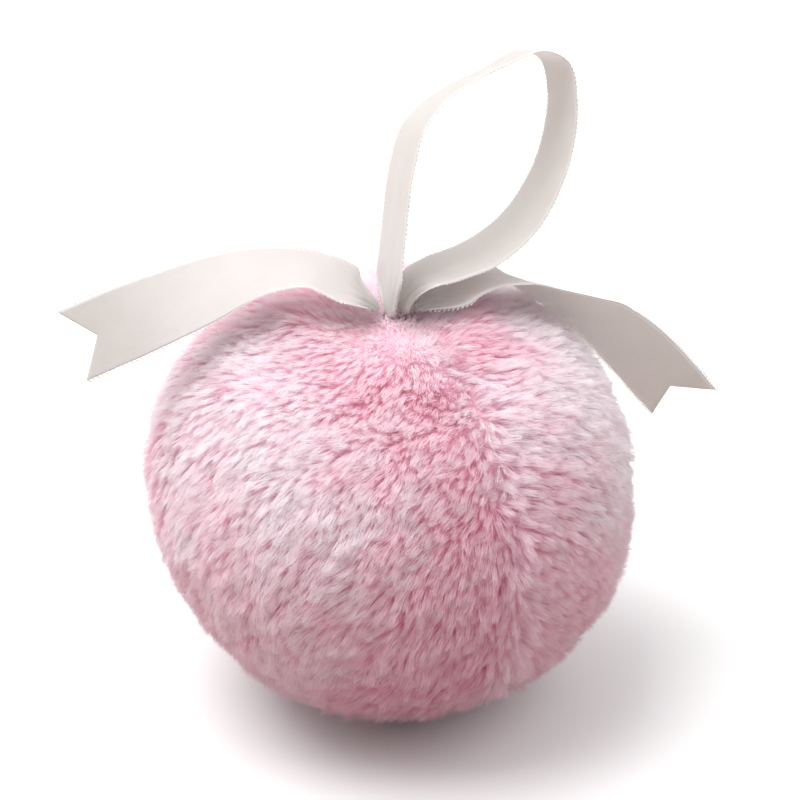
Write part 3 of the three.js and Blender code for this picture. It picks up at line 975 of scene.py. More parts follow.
@dataclass
class Tuft:
    """What a strand of the pile knows about its tuft, as wires of the pile's tree. Its fades are in metres."""

    bench: NodeBench
    give: dict[str, Wire]
    strand: Wire
    number: Wire
    root: Wire
    way: Wire
    swirl: tuple[float, float] = (55.0, 1.5)
    ruffle: tuple[float, float] = (260.0, 1.9)
    crossing: float = 1.4
    crossing_near: Fade = Fade(0.005, 0.0005)
    mouth_comb: Fade = Fade(0.03, 0.008)
    mouth_radial: float = 1.6
    mouth_combed: float = 0.35
    lump_scale: float = 120.0
    lump_tone: float = 1.3
    tuft_tone: float = 0.22
    strand_tone: float = 0.16
    # Painted shade in the seam's valley, lighter away from the seam.
    painted_seam_shade: Fade = Fade(0.032, 0.007, 0.32, -0.34)
    parting_tone: Fade = Fade(0.001, 0.007, 0.0, 0.35)
    parting_from_mouth: Fade = Fade(0.012, 0.03)
    # Painted light towards the top and painted shade towards the bottom.
    painted_light_by_height: Fade = Fade(0.068, 0.028, 0.16, -0.5)
    tone_limits: tuple[float, float] = (0.03, 0.97)
    mat_tone: tuple[float, float] = (0.011, 0.3)
    mat_end: float = 0.009
    mat_length: float = 0.58
    mat_undrawn: float = 0.8
    loose_from: float = 0.9
    loose_undrawn: float = 0.6
    tuft_reach: tuple[float, float] = (0.78, 1.12)
    strand_reach: tuple[float, float] = (0.85, 1.06)
    tuft_lift: tuple[float, float] = (-0.25, 0.16)
    strand_lift: float = 0.14
    twist: float = 0.35
    ridge_scale: float = 240.0
    ridge_lift: float = 1.6
    seam_lift: Fade = Fade(0.004, 0.0005, 0.0, 0.45)
    mouth_lift: Fade = Fade(0.008, 0.004, 0.0, 0.2)
    seam_pale: Fade = Fade(0.006, 0.001)
    mouth_pale: Fade = Fade(0.016, 0.008)
    pale: float = 0.7

    def __post_init__(self) -> None:
        """Lays how far the tuft is from the mouth and from the seam."""
        self.from_mouth = self.root - self.give["Mouth"]
        self.mouth_distance = self.bench.math("LENGTH", self.from_mouth)
        self.past_seam = self.bench.math("DOT_PRODUCT", self.root, self.give["Seam"]) - self.give["Seam Place"]
        self.seam_distance = self.bench.math("ABSOLUTE", self.past_seam)

    def at_seam(self, fade: Fade) -> Wire:
        """Returns a number that fades with the distance from the seam."""
        return self.bench.span(self.seam_distance, *fade)

    def at_mouth(self, fade: Fade) -> Wire:
        """Returns a number that fades with the distance from the mouth."""
        return self.bench.span(self.mouth_distance, *fade)

    def in_mat(self, end: float, first: float, last: float) -> Wire:
        """Returns a number that fades from the edge of the mat of pile round the mouth."""
        return self.bench.span(self.mouth_distance, self.give["Mat Reach"], end, first, last)

    def lay(self) -> Wire:
        """Lays the direction that the strand lies in, along the fabric.

        Returns:
            The direction.
        """
        bench, give, half = self.bench, self.give, (0.5, 0.5, 0.5)
        combed = give["Comb"]
        for scale, strength in (self.swirl, self.ruffle):
            combed = combed + (bench.noise(self.root, scale, 1.0, "Color") - half) * strength
        over_seam = bench.chance(-self.crossing, self.crossing, self.number, Draw.CROSSING)
        combed = combed + give["Seam"] * (over_seam * self.at_seam(self.crossing_near))
        radial = bench.math("NORMALIZE", self.from_mouth) * self.mouth_radial
        combed = bench.mixed(self.at_mouth(self.mouth_comb), combed, radial + combed * self.mouth_combed, "VECTOR")
        inputs = {0: (-1.0, -1.0, -1.0), 1: (1.0, 1.0, 1.0), "ID": self.strand, "Seed": Draw.STRAY.value}
        stray = bench.wire("FunctionNodeRandomValue", inputs, data_type="FLOAT_VECTOR")
        combed = combed + stray * give["Stray"]
        return bench.math("NORMALIZE", combed - self.way * bench.math("DOT_PRODUCT", combed, self.way))

    def tone(self) -> Wire:
        """Lays how bright the strand is: at random by its tuft, its strand and lumps, and by its place on the ball,
        with painted shade near the seam and towards the bottom, painted light towards the top, and paler on the right
        panel away from the mouth and in the mat round the mouth.

        Returns:
            The tone, from 0 to 1.
        """
        bench = self.bench
        tone = bench.chance(-self.tuft_tone, self.tuft_tone, self.number, Draw.TUFT_TONE)
        tone = tone + (bench.noise(self.root, self.lump_scale, 2.0) - 0.5) * self.lump_tone
        tone = tone + (bench.chance(-self.strand_tone, self.strand_tone, self.strand, Draw.STRAND_TONE) + 0.5)
        tone = tone + self.at_seam(self.painted_seam_shade)
        tone = tone + bench.span(self.past_seam, *self.parting_tone) * self.at_mouth(self.parting_from_mouth)
        tone = tone + bench.span(bench.parts(self.root)[2], *self.painted_light_by_height)
        tone = tone + self.in_mat(self.mat_tone[0], 0.0, self.mat_tone[1])
        return bench.wire("ShaderNodeClamp", dict(enumerate((tone, *self.tone_limits))))

    def reach(self) -> Wire:
        """Lays the strand's length, which is shorter in the mat round the mouth.

        Returns:
            The length in metres.
        """
        share = self.bench.chance(*self.tuft_reach, self.number, Draw.TUFT_REACH)
        share = share * self.bench.chance(*self.strand_reach, self.strand, Draw.STRAND_REACH)
        return share * self.give["Length"] * self.in_mat(self.mat_end, 1.0, self.mat_length)

    def drawn(self) -> Wire:
        """Lays how far the strand is drawn to its tuft, which is less in the mat and for a loose strand.

        Returns:
            A share, from 0 to 1.
        """
        luck = self.bench.chance(0.0, 1.0, self.strand, Draw.LOOSE)
        loose = self.bench.math("GREATER_THAN", luck, self.loose_from)
        drawn = self.give["Drawn"] * (1.0 - loose * self.loose_undrawn)
        return drawn * (1.0 - self.in_mat(self.mat_end, 0.0, self.mat_undrawn))

    def lift(self) -> Wire:
        """Lays how much flatter the strand lies than the pile as a whole.

        Returns:
            An angle in radians, below 0 where the strand stands up more.
        """
        bench = self.bench
        lift = bench.chance(*self.tuft_lift, self.number, Draw.TUFT_LIFT)
        lift = lift + bench.chance(-self.strand_lift, self.strand_lift, self.strand, Draw.STRAND_LIFT)
        lift = lift + (bench.noise(self.root, self.ridge_scale, 1.0) - 0.5) * self.ridge_lift
        return lift - self.at_seam(self.seam_lift) - self.at_mouth(self.mouth_lift)

    def wires(self, place: Wire, normal: Wire) -> dict[str, Wire]:
        """Lays everything that each strand keeps until it is bent.

        Args:
            place: The strand's root.
            normal: The fabric's direction there.

        Returns:
            The wires by the names of their attributes.
        """
        # Where the pile parts at the seam and round the mouth, the roots take more of the tip's colour, with less
        # painted root shade.
        parted = self.bench.math("MAXIMUM", self.at_seam(self.seam_pale), self.at_mouth(self.mouth_pale))
        return {
            "root": place,
            "face_way": normal,
            "tuft_root": self.root,
            "tuft_way": self.way,
            "lay": self.lay(),
            "tone": self.tone(),
            "reach": self.reach(),
            "drawn": self.drawn(),
            "lift": self.lift(),
            "twist": self.bench.chance(-self.twist, self.twist, self.strand, Draw.TWIST),
            "pale": parted * self.pale,
        }


@dataclass
class Pile:
    """Long plush pile that lies away from the seam and down the ball, in pointed tufts."""

    ball: PlushBall
    length: float = 4.3
    tuft_spacing: float = 1.35
    strand_width: float = 0.115
    strands_per_square_mm: float = 3.75
    layers: int = 4
    quick_layers: int = 2
    lie_start: float = math.radians(24)
    lie_end: float = math.radians(74)
    drawn: float = 0.5
    stray: float = 0.32
    comb_side: float = 0.75
    comb_down: float = 0.75
    mat_reach: float = 17.0
    strand_joints: tuple[float, ...] = (0.0, 0.4, 0.75)
    taper: float = 0.55
    tip: float = 0.0001
    rest_height: float = 0.15
    tufts_at_most: float = 10.0
    across_tone: float = 0.012
    seed: int = 7
    layer_seed: int = 31

    def strand(self) -> bpy.types.Object:
        """Makes one flat strand of five triangles, to be placed by the tree.

        Returns:
            The strand.
        """
        points = [(side, 0, rise) for rise in self.strand_joints for side in (-1, 1)] + [(0, 0, 1)]
        strand = made_of("strand", np.array(points, float), [(0, 1, 3, 2), (2, 3, 5, 4), (4, 5, 6)])
        for name, column in (("across", 0), ("rise", 2)):
            layer = strand.data.attributes.new(name, "FLOAT", "POINT")
            layer.data.foreach_set("value", [p[column] for p in points])
        return strand

    def bent(self, bench: NodeBench, give: dict[str, Wire], kept: dict[str, Wire], rise: Wire, across: Wire) -> Wire:
        """Bends a strand over from its root and draws it to its tuft.

        Args:
            bench: The tree's bench.
            give: The tree's inputs.
            kept: What each strand keeps.
            rise: Share of the strand's length.
            across: -1 on the strand's left and 1 on its right.

        Returns:
            The place of each point.
        """
        sweep = give["Lie End"] + kept["lift"] - give["Lie Start"]
        angle = give["Lie Start"] + sweep * rise
        up = bench.math("SINE", angle) - bench.math("SINE", give["Lie Start"])
        forth = bench.math("COSINE", give["Lie Start"]) - bench.math("COSINE", angle)
        up, forth = up / sweep * kept["reach"], forth / sweep * kept["reach"]
        step = kept["lay"] * forth
        own = kept["root"] + step + kept["face_way"] * up
        spine = kept["tuft_root"] + step + kept["tuft_way"] * up
        place = bench.mixed(kept["drawn"] * rise, own, spine, "VECTOR")
        side = bench.math("NORMALIZE", bench.math("CROSS_PRODUCT", kept["lay"], kept["face_way"]))
        side = bench.math("NORMALIZE", side + kept["face_way"] * kept["twist"])
        half_width = across * bench.math("POWER", 1.0 + self.tip - rise, self.taper) * (give["Width"] * 0.5)
        return bench.math("MAXIMUM", place + side * half_width, (-1.0, -1.0, self.rest_height * MM))

    def tree(self, values: dict[str, Any]) -> bpy.types.NodeTree:
        """Builds the tree that grows the pile on a panel.

        Args:
            values: Its inputs with their first values.

        Returns:
            The geometry tree.
        """
        bench, give = open_tree("plush_pile", values)
        here = bench.wire("GeometryNodeInputPosition")
        scatter, skin = "GeometryNodeDistributePointsOnFaces", give["Geometry"]
        inputs = {"Mesh": skin, "Distance Min": give["Tuft Spacing"], "Seed": give["Tuft Seed"]}
        inputs["Density Max"] = self.tufts_at_most / MM**2
        tufts = bench.add(scatter, inputs, distribute_method="POISSON").outputs
        tufts = bench.keep(Wire(bench, tufts[0]), "way", Wire(bench, tufts["Normal"]))
        inputs = {"Mesh": skin, "Density": give["Density"], "Seed": give["Strand Seed"]}
        strands = bench.add(scatter, inputs, distribute_method="RANDOM").outputs
        near = bench.wire("GeometryNodeSampleNearest", {"Geometry": tufts, "Sample Position": here}, domain="POINT")
        root, way = (
            bench.wire(
                "GeometryNodeSampleIndex",
                {"Geometry": tufts, "Value": value, "Index": near},
                data_type="FLOAT_VECTOR",
                domain="POINT",
            )
            for value in (here, bench.attribute("way", True))
        )
        tuft = Tuft(bench, give, bench.wire("GeometryNodeInputIndex"), near, root, way)
        wires = tuft.wires(here, Wire(bench, strands["Normal"]))
        points = Wire(bench, strands[0])
        for name, wire in wires.items():
            points = bench.keep(points, name, wire)
        shape = bench.wire("GeometryNodeObjectInfo", {"Object": give["Strand"]}, "Geometry", transform_space="ORIGINAL")
        laid = bench.wire("GeometryNodeInstanceOnPoints", {"Points": points, "Instance": shape})
        real = bench.wire("GeometryNodeRealizeInstances", {0: laid})
        kept = {name: bench.attribute(name, wire.is_vector) for name, wire in wires.items()}
        rise, across = bench.attribute("rise"), bench.attribute("across")
        place = self.bent(bench, give, kept, rise, across)
        pile = bench.wire("GeometryNodeSetPosition", {"Geometry": real, "Position": place})
        # Place on the fibre's ramp, from painted root shade to a painted tip highlight; pale moves it towards the tip.
        shown = rise + (1.0 - rise) * kept["pale"]
        shown = shown * (1.0 - 2 * PILE_MAP_MARGIN) + PILE_MAP_MARGIN
        spot = bench.wire("ShaderNodeCombineXYZ", {0: kept["tone"] + across * self.across_tone, 1: shown})
        pile = bench.wire(
            "GeometryNodeStoreNamedAttribute",
            {"Geometry": pile, "Name": SURFACE_MAP, "Value": spot},
            data_type="FLOAT2",
            domain="CORNER",
        )
        for name in (*wires, "across", "rise"):
            pile = bench.wire("GeometryNodeRemoveAttribute", {"Geometry": pile, "Name": name})
        return close_tree(bench, pile, give["Material"])

    def build(self, skins: dict[int, bpy.types.Object], material: bpy.types.Material) -> None:
        """Grows the pile on both panels, in layers that share their tufts.

        Args:
            skins: The panels' open skins by side.
            material: Finish of the pile.
        """
        layers = self.layers
        strand, normal = self.strand(), self.ball.seam_normal
        values = {
            "Strand": strand,
            "Comb": (0.0, 0.0, -self.comb_down),
            "Mouth": tuple(float(c) for c in self.ball.mouth * MM),
            "Seam": tuple(float(c) for c in normal),
            "Seam Place": self.ball.seam_offset * MM,
            "Tuft Spacing": self.tuft_spacing * MM,
            "Density": self.strands_per_square_mm / MM**2,
            "Length": self.length * MM,
            "Width": self.strand_width * MM * math.sqrt(self.layers / layers),
            "Lie Start": self.lie_start,
            "Lie End": self.lie_end,
            "Drawn": self.drawn,
            "Stray": self.stray,
            "Mat Reach": self.mat_reach * MM,
            "Tuft Seed": self.seed,
            "Strand Seed": self.seed,
            "Material": material,
        }
        tree = self.tree(values)
        for side, word in ((-1, "left"), (1, "right")):
            comb = normal * side * self.comb_side
            values["Comb"] = (float(comb[0]), float(comb[1]), -self.comb_down)
            for layer in range(1, layers + 1):
                values["Strand Seed"] = self.seed + self.layer_seed * layer
                stand_in(grown(skins[side], tree, values, f"pile_{word}_{layer}"), Body.PUFF, Slot.PLUSH)
        drop(strand, *skins.values())


@dataclass
class SpunThread:
    """Thread of several plies, twisted along a line."""

    material: bpy.types.Material
    ply_sides: int = 6
    step: float = 0.35
    turn_length: float = 2.2

    @cached_property
    def tree(self) -> bpy.types.NodeTree:
        """Builds the tree that twists plies round a line of edges, once for all the threads.

        Returns:
            The geometry tree.
        """
        lengths = {"Ply Radius": 0.2 * MM, "Pitch": self.turn_length * MM, "Step": self.step * MM}
        bench, give = open_tree("spun_thread", {"Plies": 2, **lengths, "Material": self.material})
        line = bench.wire("GeometryNodeMeshToCurve", {"Mesh": give["Geometry"]})
        line = bench.wire("GeometryNodeResampleCurve", {"Curve": line, "Length": give["Step"]}, mode="LENGTH")
        inputs = {"Geometry": line, "Amount": give["Plies"]}
        plies = bench.add("GeometryNodeDuplicateElements", inputs, domain="SPLINE").outputs
        turns = bench.wire("GeometryNodeSplineParameter", output="Length") / give["Pitch"]
        angle = (turns + Wire(bench, plies[1]) / give["Plies"]) * (2 * math.pi)
        normal = bench.wire("GeometryNodeInputNormal")
        side = bench.math("CROSS_PRODUCT", bench.wire("GeometryNodeInputTangent"), normal)
        way = normal * bench.math("COSINE", angle) + side * bench.math("SINE", angle)
        apart = bench.math("SINE", bench.math("DIVIDE", math.pi, give["Plies"]))
        inputs = {"Geometry": Wire(bench, plies[0]), "Offset": way * (give["Ply Radius"] / apart)}
        twisted = bench.wire("GeometryNodeSetPosition", inputs)
        inputs = {"Resolution": self.ply_sides, "Radius": give["Ply Radius"]}
        ring = bench.wire("GeometryNodeCurvePrimitiveCircle", inputs, mode="RADIUS")
        inputs = {"Curve": twisted, "Profile Curve": ring, "Fill Caps": True}
        body = bench.wire("GeometryNodeSetShadeSmooth", {0: bench.wire("GeometryNodeCurveToMesh", inputs)})
        return close_tree(bench, body, give["Material"])

    def lay(self, name: str, node: str, line: Array, closed: bool, plies: int, thickness: float) -> None:
        """Lays one thread in place of a solid.

        Args:
            name: The piece's name.
            node: The node that it replaces.
            line: Points of its middle line in millimetres.
            closed: Whether the line's end joins its start.
            plies: How many plies it has.
            thickness: Its overall thickness in millimetres.
        """
        count = len(line)
        edges = [(i, (i + 1) % count) for i in range(count if closed else count - 1)]
        source = made_of(f"{name}_line", line, edges=edges)
        length = float(run_of(np.concatenate([line, line[:1]]) if closed else line)[-1])
        values = {
            "Plies": plies,
            "Ply Radius": thickness / 2 / (1 + 1 / math.sin(math.pi / plies)) * MM,
            "Pitch": length / max(round(length / (self.turn_length * thickness)), 1) * MM,
            "Step": self.step * MM,
            "Material": self.material,
        }
        stand_in(grown(source, self.tree, values, name), Body.PUFF, Slot.THREAD, node)
        drop(source)


@dataclass
class Sewing:
    """The seam's stitches, the thread that draws the mouth in, and the tack under the ribbons."""

    ball: PlushBall
    thread: SpunThread
    seam_thread: float = 0.8
    seam_depth: float = 3.8
    seam_steps: int = 120
    stitch: float = 2.6
    stitch_rise: float = 0.25
    gather_thread: float = 0.8
    gather_depth: float = 2.4
    gather_steps: int = 96
    tack_thread: float = 1.1
    tack_diameter: float = 7.2
    tack_turns: int = 4
    tack_steps: int = 160
    tack_core: float = 0.25
    tack_stand: float = 0.4
    panel_thickness: float = 5.0

    def seam(self) -> None:
        """Lays the seam's stitches, which rise and dip along the seam."""
        line = self.ball.seam_line(self.seam_depth, 2 * self.gather_depth, self.seam_steps)
        wave = np.sin(run_of(line) * 2 * math.pi / self.stitch)[:, None]
        line = line + unit(line - self.ball.centre) * wave * self.stitch_rise
        self.thread.lay("seam_stitches", "seam_thread", line, False, 2, self.seam_thread)

    def gathering(self) -> None:
        """Lays the drawn thread as a ring that runs in and out through the pleats."""
        turn = np.linspace(0, 2 * math.pi, self.gather_steps, endpoint=False)
        wave = self.stitch_rise * np.cos(self.ball.pleats * turn)
        radius = (self.ball.mouth_diameter + self.gather_thread) / 2 + wave
        ring = np.stack([radius * np.cos(turn), radius * np.sin(turn), -self.gather_depth + 0 * turn], 1)
        self.thread.lay("drawn_thread", "gathering_thread", self.ball.mouth + ring, True, 2, self.gather_thread)

    def tack(self) -> None:
        """Lays the tack: turns of thread on each other, closed with a flat coil at the top."""
        low, high = -self.panel_thickness + self.tack_thread / 2, self.tack_stand - self.tack_thread / 2
        outer = (self.tack_diameter - self.tack_thread) / 2
        share = np.linspace(0, 1, self.tack_steps)
        level = np.ones(self.tack_steps)
        rise = np.stack([outer * level, share * self.tack_turns, low + (high - low) * share], 1)
        flat_turns = self.tack_turns + share * (outer / self.tack_thread)
        flat = np.stack([outer * (1 - share) + self.tack_core, flat_turns, high * level], 1)
        radius, turns, height = np.concatenate([rise, flat[1:]]).T
        angle = 2 * math.pi * turns
        coil = np.stack([radius * np.cos(angle), radius * np.sin(angle), height], 1)
        self.thread.lay("tack_coil", "ribbon_tack", self.ball.mouth + coil, False, 3, self.tack_thread)

    def build(self) -> None:
        """Lays the three threads."""
        self.seam()
        self.gathering()
        self.tack()


def smooth_route(knots: Array, samples: int) -> tuple[Array, Array]:
    """Draws a centripetal curve through points.

    Args:
        knots: The points.
        samples: Points laid between each two of them.

    Returns:
        The curve's points, and for each its place among the knots.
    """
    before, after = 2 * knots[0] - knots[1], 2 * knots[-1] - knots[-2]
    full = np.concatenate([[before], knots, [after]])
    points, places = [], []
    for i in range(len(knots) - 1):
        p0, p1, p2, p3 = full[i : i + 4]
        d0, d1, d2 = (max(np.sum((b - a) ** 2) ** 0.25, 1e-4) for a, b in ((p0, p1), (p1, p2), (p2, p3)))
        m1 = ((p1 - p0) / d0 - (p2 - p0) / (d0 + d1) + (p2 - p1) / d1) * d1
        m2 = ((p2 - p1) / d1 - (p3 - p1) / (d1 + d2) + (p3 - p2) / d2) * d1
        c2, c3 = -3 * p1 + 3 * p2 - 2 * m1 - m2, 2 * p1 - 2 * p2 + m1 + m2
        for step in range(samples + (i == len(knots) - 2)):
            t = step / samples
            points.append(p1 + m1 * t + c2 * t * t + c3 * t**3)
            places.append(i + t)
    return np.array(points), np.array(places)


def turned(vectors: Array, axes: Array, angles: Array) -> Array:
    """Turns vectors about axes.

    Args:
        vectors: The vectors.
        axes: A unit axis for each.
        angles: An angle in radians for each.

    Returns:
        The turned vectors.
    """
    cosine, sine = np.cos(angles)[:, None], np.sin(angles)[:, None]
    dot = np.sum(vectors * axes, 1, keepdims=True)
    return vectors * cosine + np.cross(axes, vectors) * sine + axes * dot * (1 - cosine)


@dataclass
class Ribbon:
    """A satin ribbon along a route, folded lengthwise at its foot."""

    name: str
    node: str
    body: Body
    end: RibbonEnd
    rows: int
    flare: float
    fold_share: float
    width: float = 13.0
    thickness: float = 0.26
    foot_width: float = 4.0
    folds: int = 4
    fold_start: float = 0.6
    crease: float = 0.12
    creases: float = 2.5
    crease_drift: float = 0.05
    crease_reach: float = 2.2
    notch: float = 5.0
    columns: int = 28
    rim_share: float = 0.55
    rim_map: float = 0.6
    selvage_share: float = 1.3
    length: float = field(init=False)
    edges: list[tuple[Array, Array]] = field(init=False)
    piece: bpy.types.Object = field(init=False)

    def surface(self, route: Array, sides: Array) -> tuple[Array, Array, Array]:
        """Lays the ribbon's middle surface along its route.

        Args:
            route: Closely spaced points of the ribbon's middle line, in its own frame.
            sides: Unit vectors across the ribbon at these points.

        Returns:
            Points of the middle surface, row by row, and how far along and across the ribbon each lies.
        """
        run = run_of(route)
        self.length = float(run[-1])
        across = np.linspace(-0.5, 0.5, self.columns + 1)
        round_trim = self.foot_width / 2 * (1 - np.sqrt(np.maximum(1 - (2 * across) ** 2, 0)))
        two_feet = self.end is RibbonEnd.SECOND_FOOT
        end_trim = round_trim if two_feet else self.notch * (1 - 2 * np.abs(across))
        share = np.linspace(0, 1, self.rows + 1)[:, None]
        distance = round_trim + share * (self.length - end_trim - round_trim)
        centre, side, tangent = (
            np.stack([np.interp(distance, run, column) for column in values.T], -1)
            for values in (route, sides, np.gradient(route, run, axis=0))
        )
        tangent = unit(tangent)
        side = unit(side - tangent * np.sum(side * tangent, -1, keepdims=True))
        to_foot = np.minimum(distance, self.length - distance) if two_feet else distance
        width = self.foot_width + (self.width - self.foot_width) * eased(to_foot / self.flare)
        slack = np.sqrt(np.maximum(1 - (width / self.width) ** 2, 0))
        wave = np.sin(across * 2 * math.pi * self.folds + self.fold_start)
        fold = slack * self.width / self.folds / 4 * self.fold_share * wave
        fading = self.crease * np.exp(-to_foot / (self.crease_reach * self.flare))
        fold = fold + fading * np.sin(across * 2 * math.pi * self.creases + self.crease_drift * distance)
        points = centre + side * (across * width)[..., None] + np.cross(tangent, side) * fold[..., None]
        return points, distance, np.broadcast_to(across * self.width, distance.shape)

    def lay(self, route: Array, sides: Array, turn: Array, shift: Array, satin: bpy.types.Material) -> None:
        """Makes the ribbon as thin cloth with a thicker selvage, and sets it on its body in place of its node.

        Args:
            route: Points of the middle line, in the ribbon's own frame.
            sides: Unit vectors across the ribbon at these points.
            turn: A 3 by 3 matrix from the ribbon's frame to the model's.
            shift: Where the ribbon's frame starts, in millimetres.
            satin: The finish.
        """
        points, distance, across = self.surface(route, sides)
        points = points @ turn.T + shift
        half = np.full(points.shape[1], self.thickness / 2)
        half[[0, -1]] *= self.rim_share
        half[[1, -2]] *= self.selvage_share
        facing = unit(np.cross(np.gradient(points, axis=0), np.gradient(points, axis=1))) * half[:, None]
        self.edges = [(points[:, rim], unit(points[:, rim] - points[:, inner])) for rim, inner in ((0, 1), (-1, -2))]
        grid = np.arange(distance.size).reshape(distance.shape)
        back = grid + distance.size
        patches = (
            (grid[:-1, :-1], grid[1:, :-1], grid[1:, 1:], grid[:-1, 1:]),  # front
            (back[:-1, :-1], back[:-1, 1:], back[1:, 1:], back[1:, :-1]),
            (grid[:-1, 0], back[:-1, 0], back[1:, 0], grid[1:, 0]),  # both long edges
            (grid[:-1, -1], grid[1:, -1], back[1:, -1], back[:-1, -1]),
            (grid[0, :-1], grid[0, 1:], back[0, 1:], back[0, :-1]),  # both ends
            (grid[-1, :-1], back[-1, :-1], back[-1, 1:], grid[-1, 1:]),
        )
        faces = np.concatenate([np.stack(corners, -1).reshape(-1, 4) for corners in patches])
        everything = np.concatenate([(points + facing).reshape(-1, 3), (points - facing).reshape(-1, 3)])
        self.piece = made_of(self.name, everything, faces.tolist())
        self.map_cloth(distance.ravel(), across.ravel())
        self.piece.data.materials.append(satin)
        stand_in(self.piece, self.body, Slot.SATIN, self.node)

    def map_cloth(self, along: Array, across: Array) -> None:
        """Gives each face its millimetres across and along, with the back beside the front.

        Args:
            along: How far along the ribbon each point of its middle surface lies.
            across: How far across it lies, from the middle.
        """
        mesh, count = self.piece.data, along.size
        front = np.stack([across + self.width / 2 + RIBBON_MAP_MARGIN, along + RIBBON_MAP_START], 1)
        places = np.concatenate([front, front + np.array([RIBBON_MAP_BACK, 0])]) / RIBBON_MAP_LENGTH
        corners = np.empty(len(mesh.loops), int)
        mesh.loops.foreach_get("vertex_index", corners)
        spots = places[corners]
        corners, spots = corners.reshape(-1, 4), spots.reshape(-1, 4, 2)
        on_back = corners >= count
        rim = on_back.any(1) & ~on_back.all(1)
        spots[rim] = places[corners[rim] % count]
        spots[rim, :, 0] += on_back[rim] * self.rim_map / RIBBON_MAP_LENGTH
        mesh.uv_layers.new(name=SURFACE_MAP).data.foreach_set("uv", spots.ravel())


@dataclass
class PicotEdge:
    """Small thread bumps along both edges of a ribbon."""

    material: bpy.types.Material
    spacing: float = 0.8
    bump_radius: float = 0.31
    bump_thread: float = 0.2
    segments: int = 5
    spread: float = 0.12
    seed: int = 3

    def bump(self) -> bpy.types.Object:
        """Makes one bump, half a ring of thread, to be placed by the tree.

        Returns:
            The bump.
        """
        points, faces = [], []
        half = self.bump_thread / 2
        for i in range(self.segments + 1):
            angle = math.pi * i / self.segments
            way = np.array([math.cos(angle), math.sin(angle), 0.0])
            for out, up in ((1, 0), (0, 1), (-1, 0), (0, -1)):
                points.append(way * (self.bump_radius + out * half) + np.array([0, 0, up * half]))
        for i in range(self.segments):
            for side in range(4):
                low, next_low = 4 * i + side, 4 * i + (side + 1) % 4
                faces.append((low, low + 4, next_low + 4, next_low))
        faces += [(0, 1, 2, 3), tuple(4 * self.segments + side for side in (3, 2, 1, 0))]
        return made_of("picot_bump", points, faces)

    def tree(self, values: dict[str, Any]) -> bpy.types.NodeTree:
        """Builds the tree that sets bumps along a ribbon's edges.

        Args:
            values: Its inputs with their first values.

        Returns:
            The geometry tree.
        """
        bench, give = open_tree("picot_edge", values)
        line = bench.wire("GeometryNodeMeshToCurve", {"Mesh": give["Geometry"]})
        line = bench.wire("GeometryNodeResampleCurve", {"Curve": line, "Length": give["Spacing"]}, mode="LENGTH")
        outward, along = bench.attribute("outward", True), bench.wire("GeometryNodeInputTangent")
        inputs = {"Primary Axis": outward, "Secondary Axis": along}
        turn = bench.wire("FunctionNodeAxesToRotation", inputs, primary_axis="Y", secondary_axis="X")
        inputs = {2: 1 - self.spread, 3: 1 + self.spread, "Seed": give["Seed"]}
        size = bench.wire("FunctionNodeRandomValue", inputs, 1, data_type="FLOAT")
        shape = bench.wire("GeometryNodeObjectInfo", {"Object": give["Bump"]}, "Geometry", transform_space="ORIGINAL")
        inputs = {"Points": line, "Instance": shape, "Rotation": turn, "Scale": size}
        return close_tree(bench, bench.wire("GeometryNodeInstanceOnPoints", inputs), give["Material"])

    def build(self, ribbons: list[Ribbon]) -> None:
        """Sets the bumps on the ribbons' edges.

        Args:
            ribbons: The finished ribbons.
        """
        values = {"Bump": self.bump(), "Spacing": self.spacing * MM, "Seed": self.seed, "Material": self.material}
        tree = self.tree(values)
        for number, ribbon in enumerate(ribbons):
            lines, outward = (np.concatenate(rows) for rows in zip(*ribbon.edges))
            count = len(lines)
            edges = [(i, i + 1) for i in range(count - 1) if i + 1 != count // 2]
            source = made_of(f"{ribbon.name}_edges", lines, edges=edges)
            layer = source.data.attributes.new("outward", "FLOAT_VECTOR", "POINT")
            layer.data.foreach_set("vector", outward.ravel())
            values["Seed"] = self.seed + number
            picot = grown(source, tree, values, ribbon.name.replace("satin", "picot"))
            stand_in(picot, ribbon.body, Slot.SATIN)
            drop(source)
            flat = (ribbon.width * MM, ribbon.length * MM)
        drop(values["Bump"])


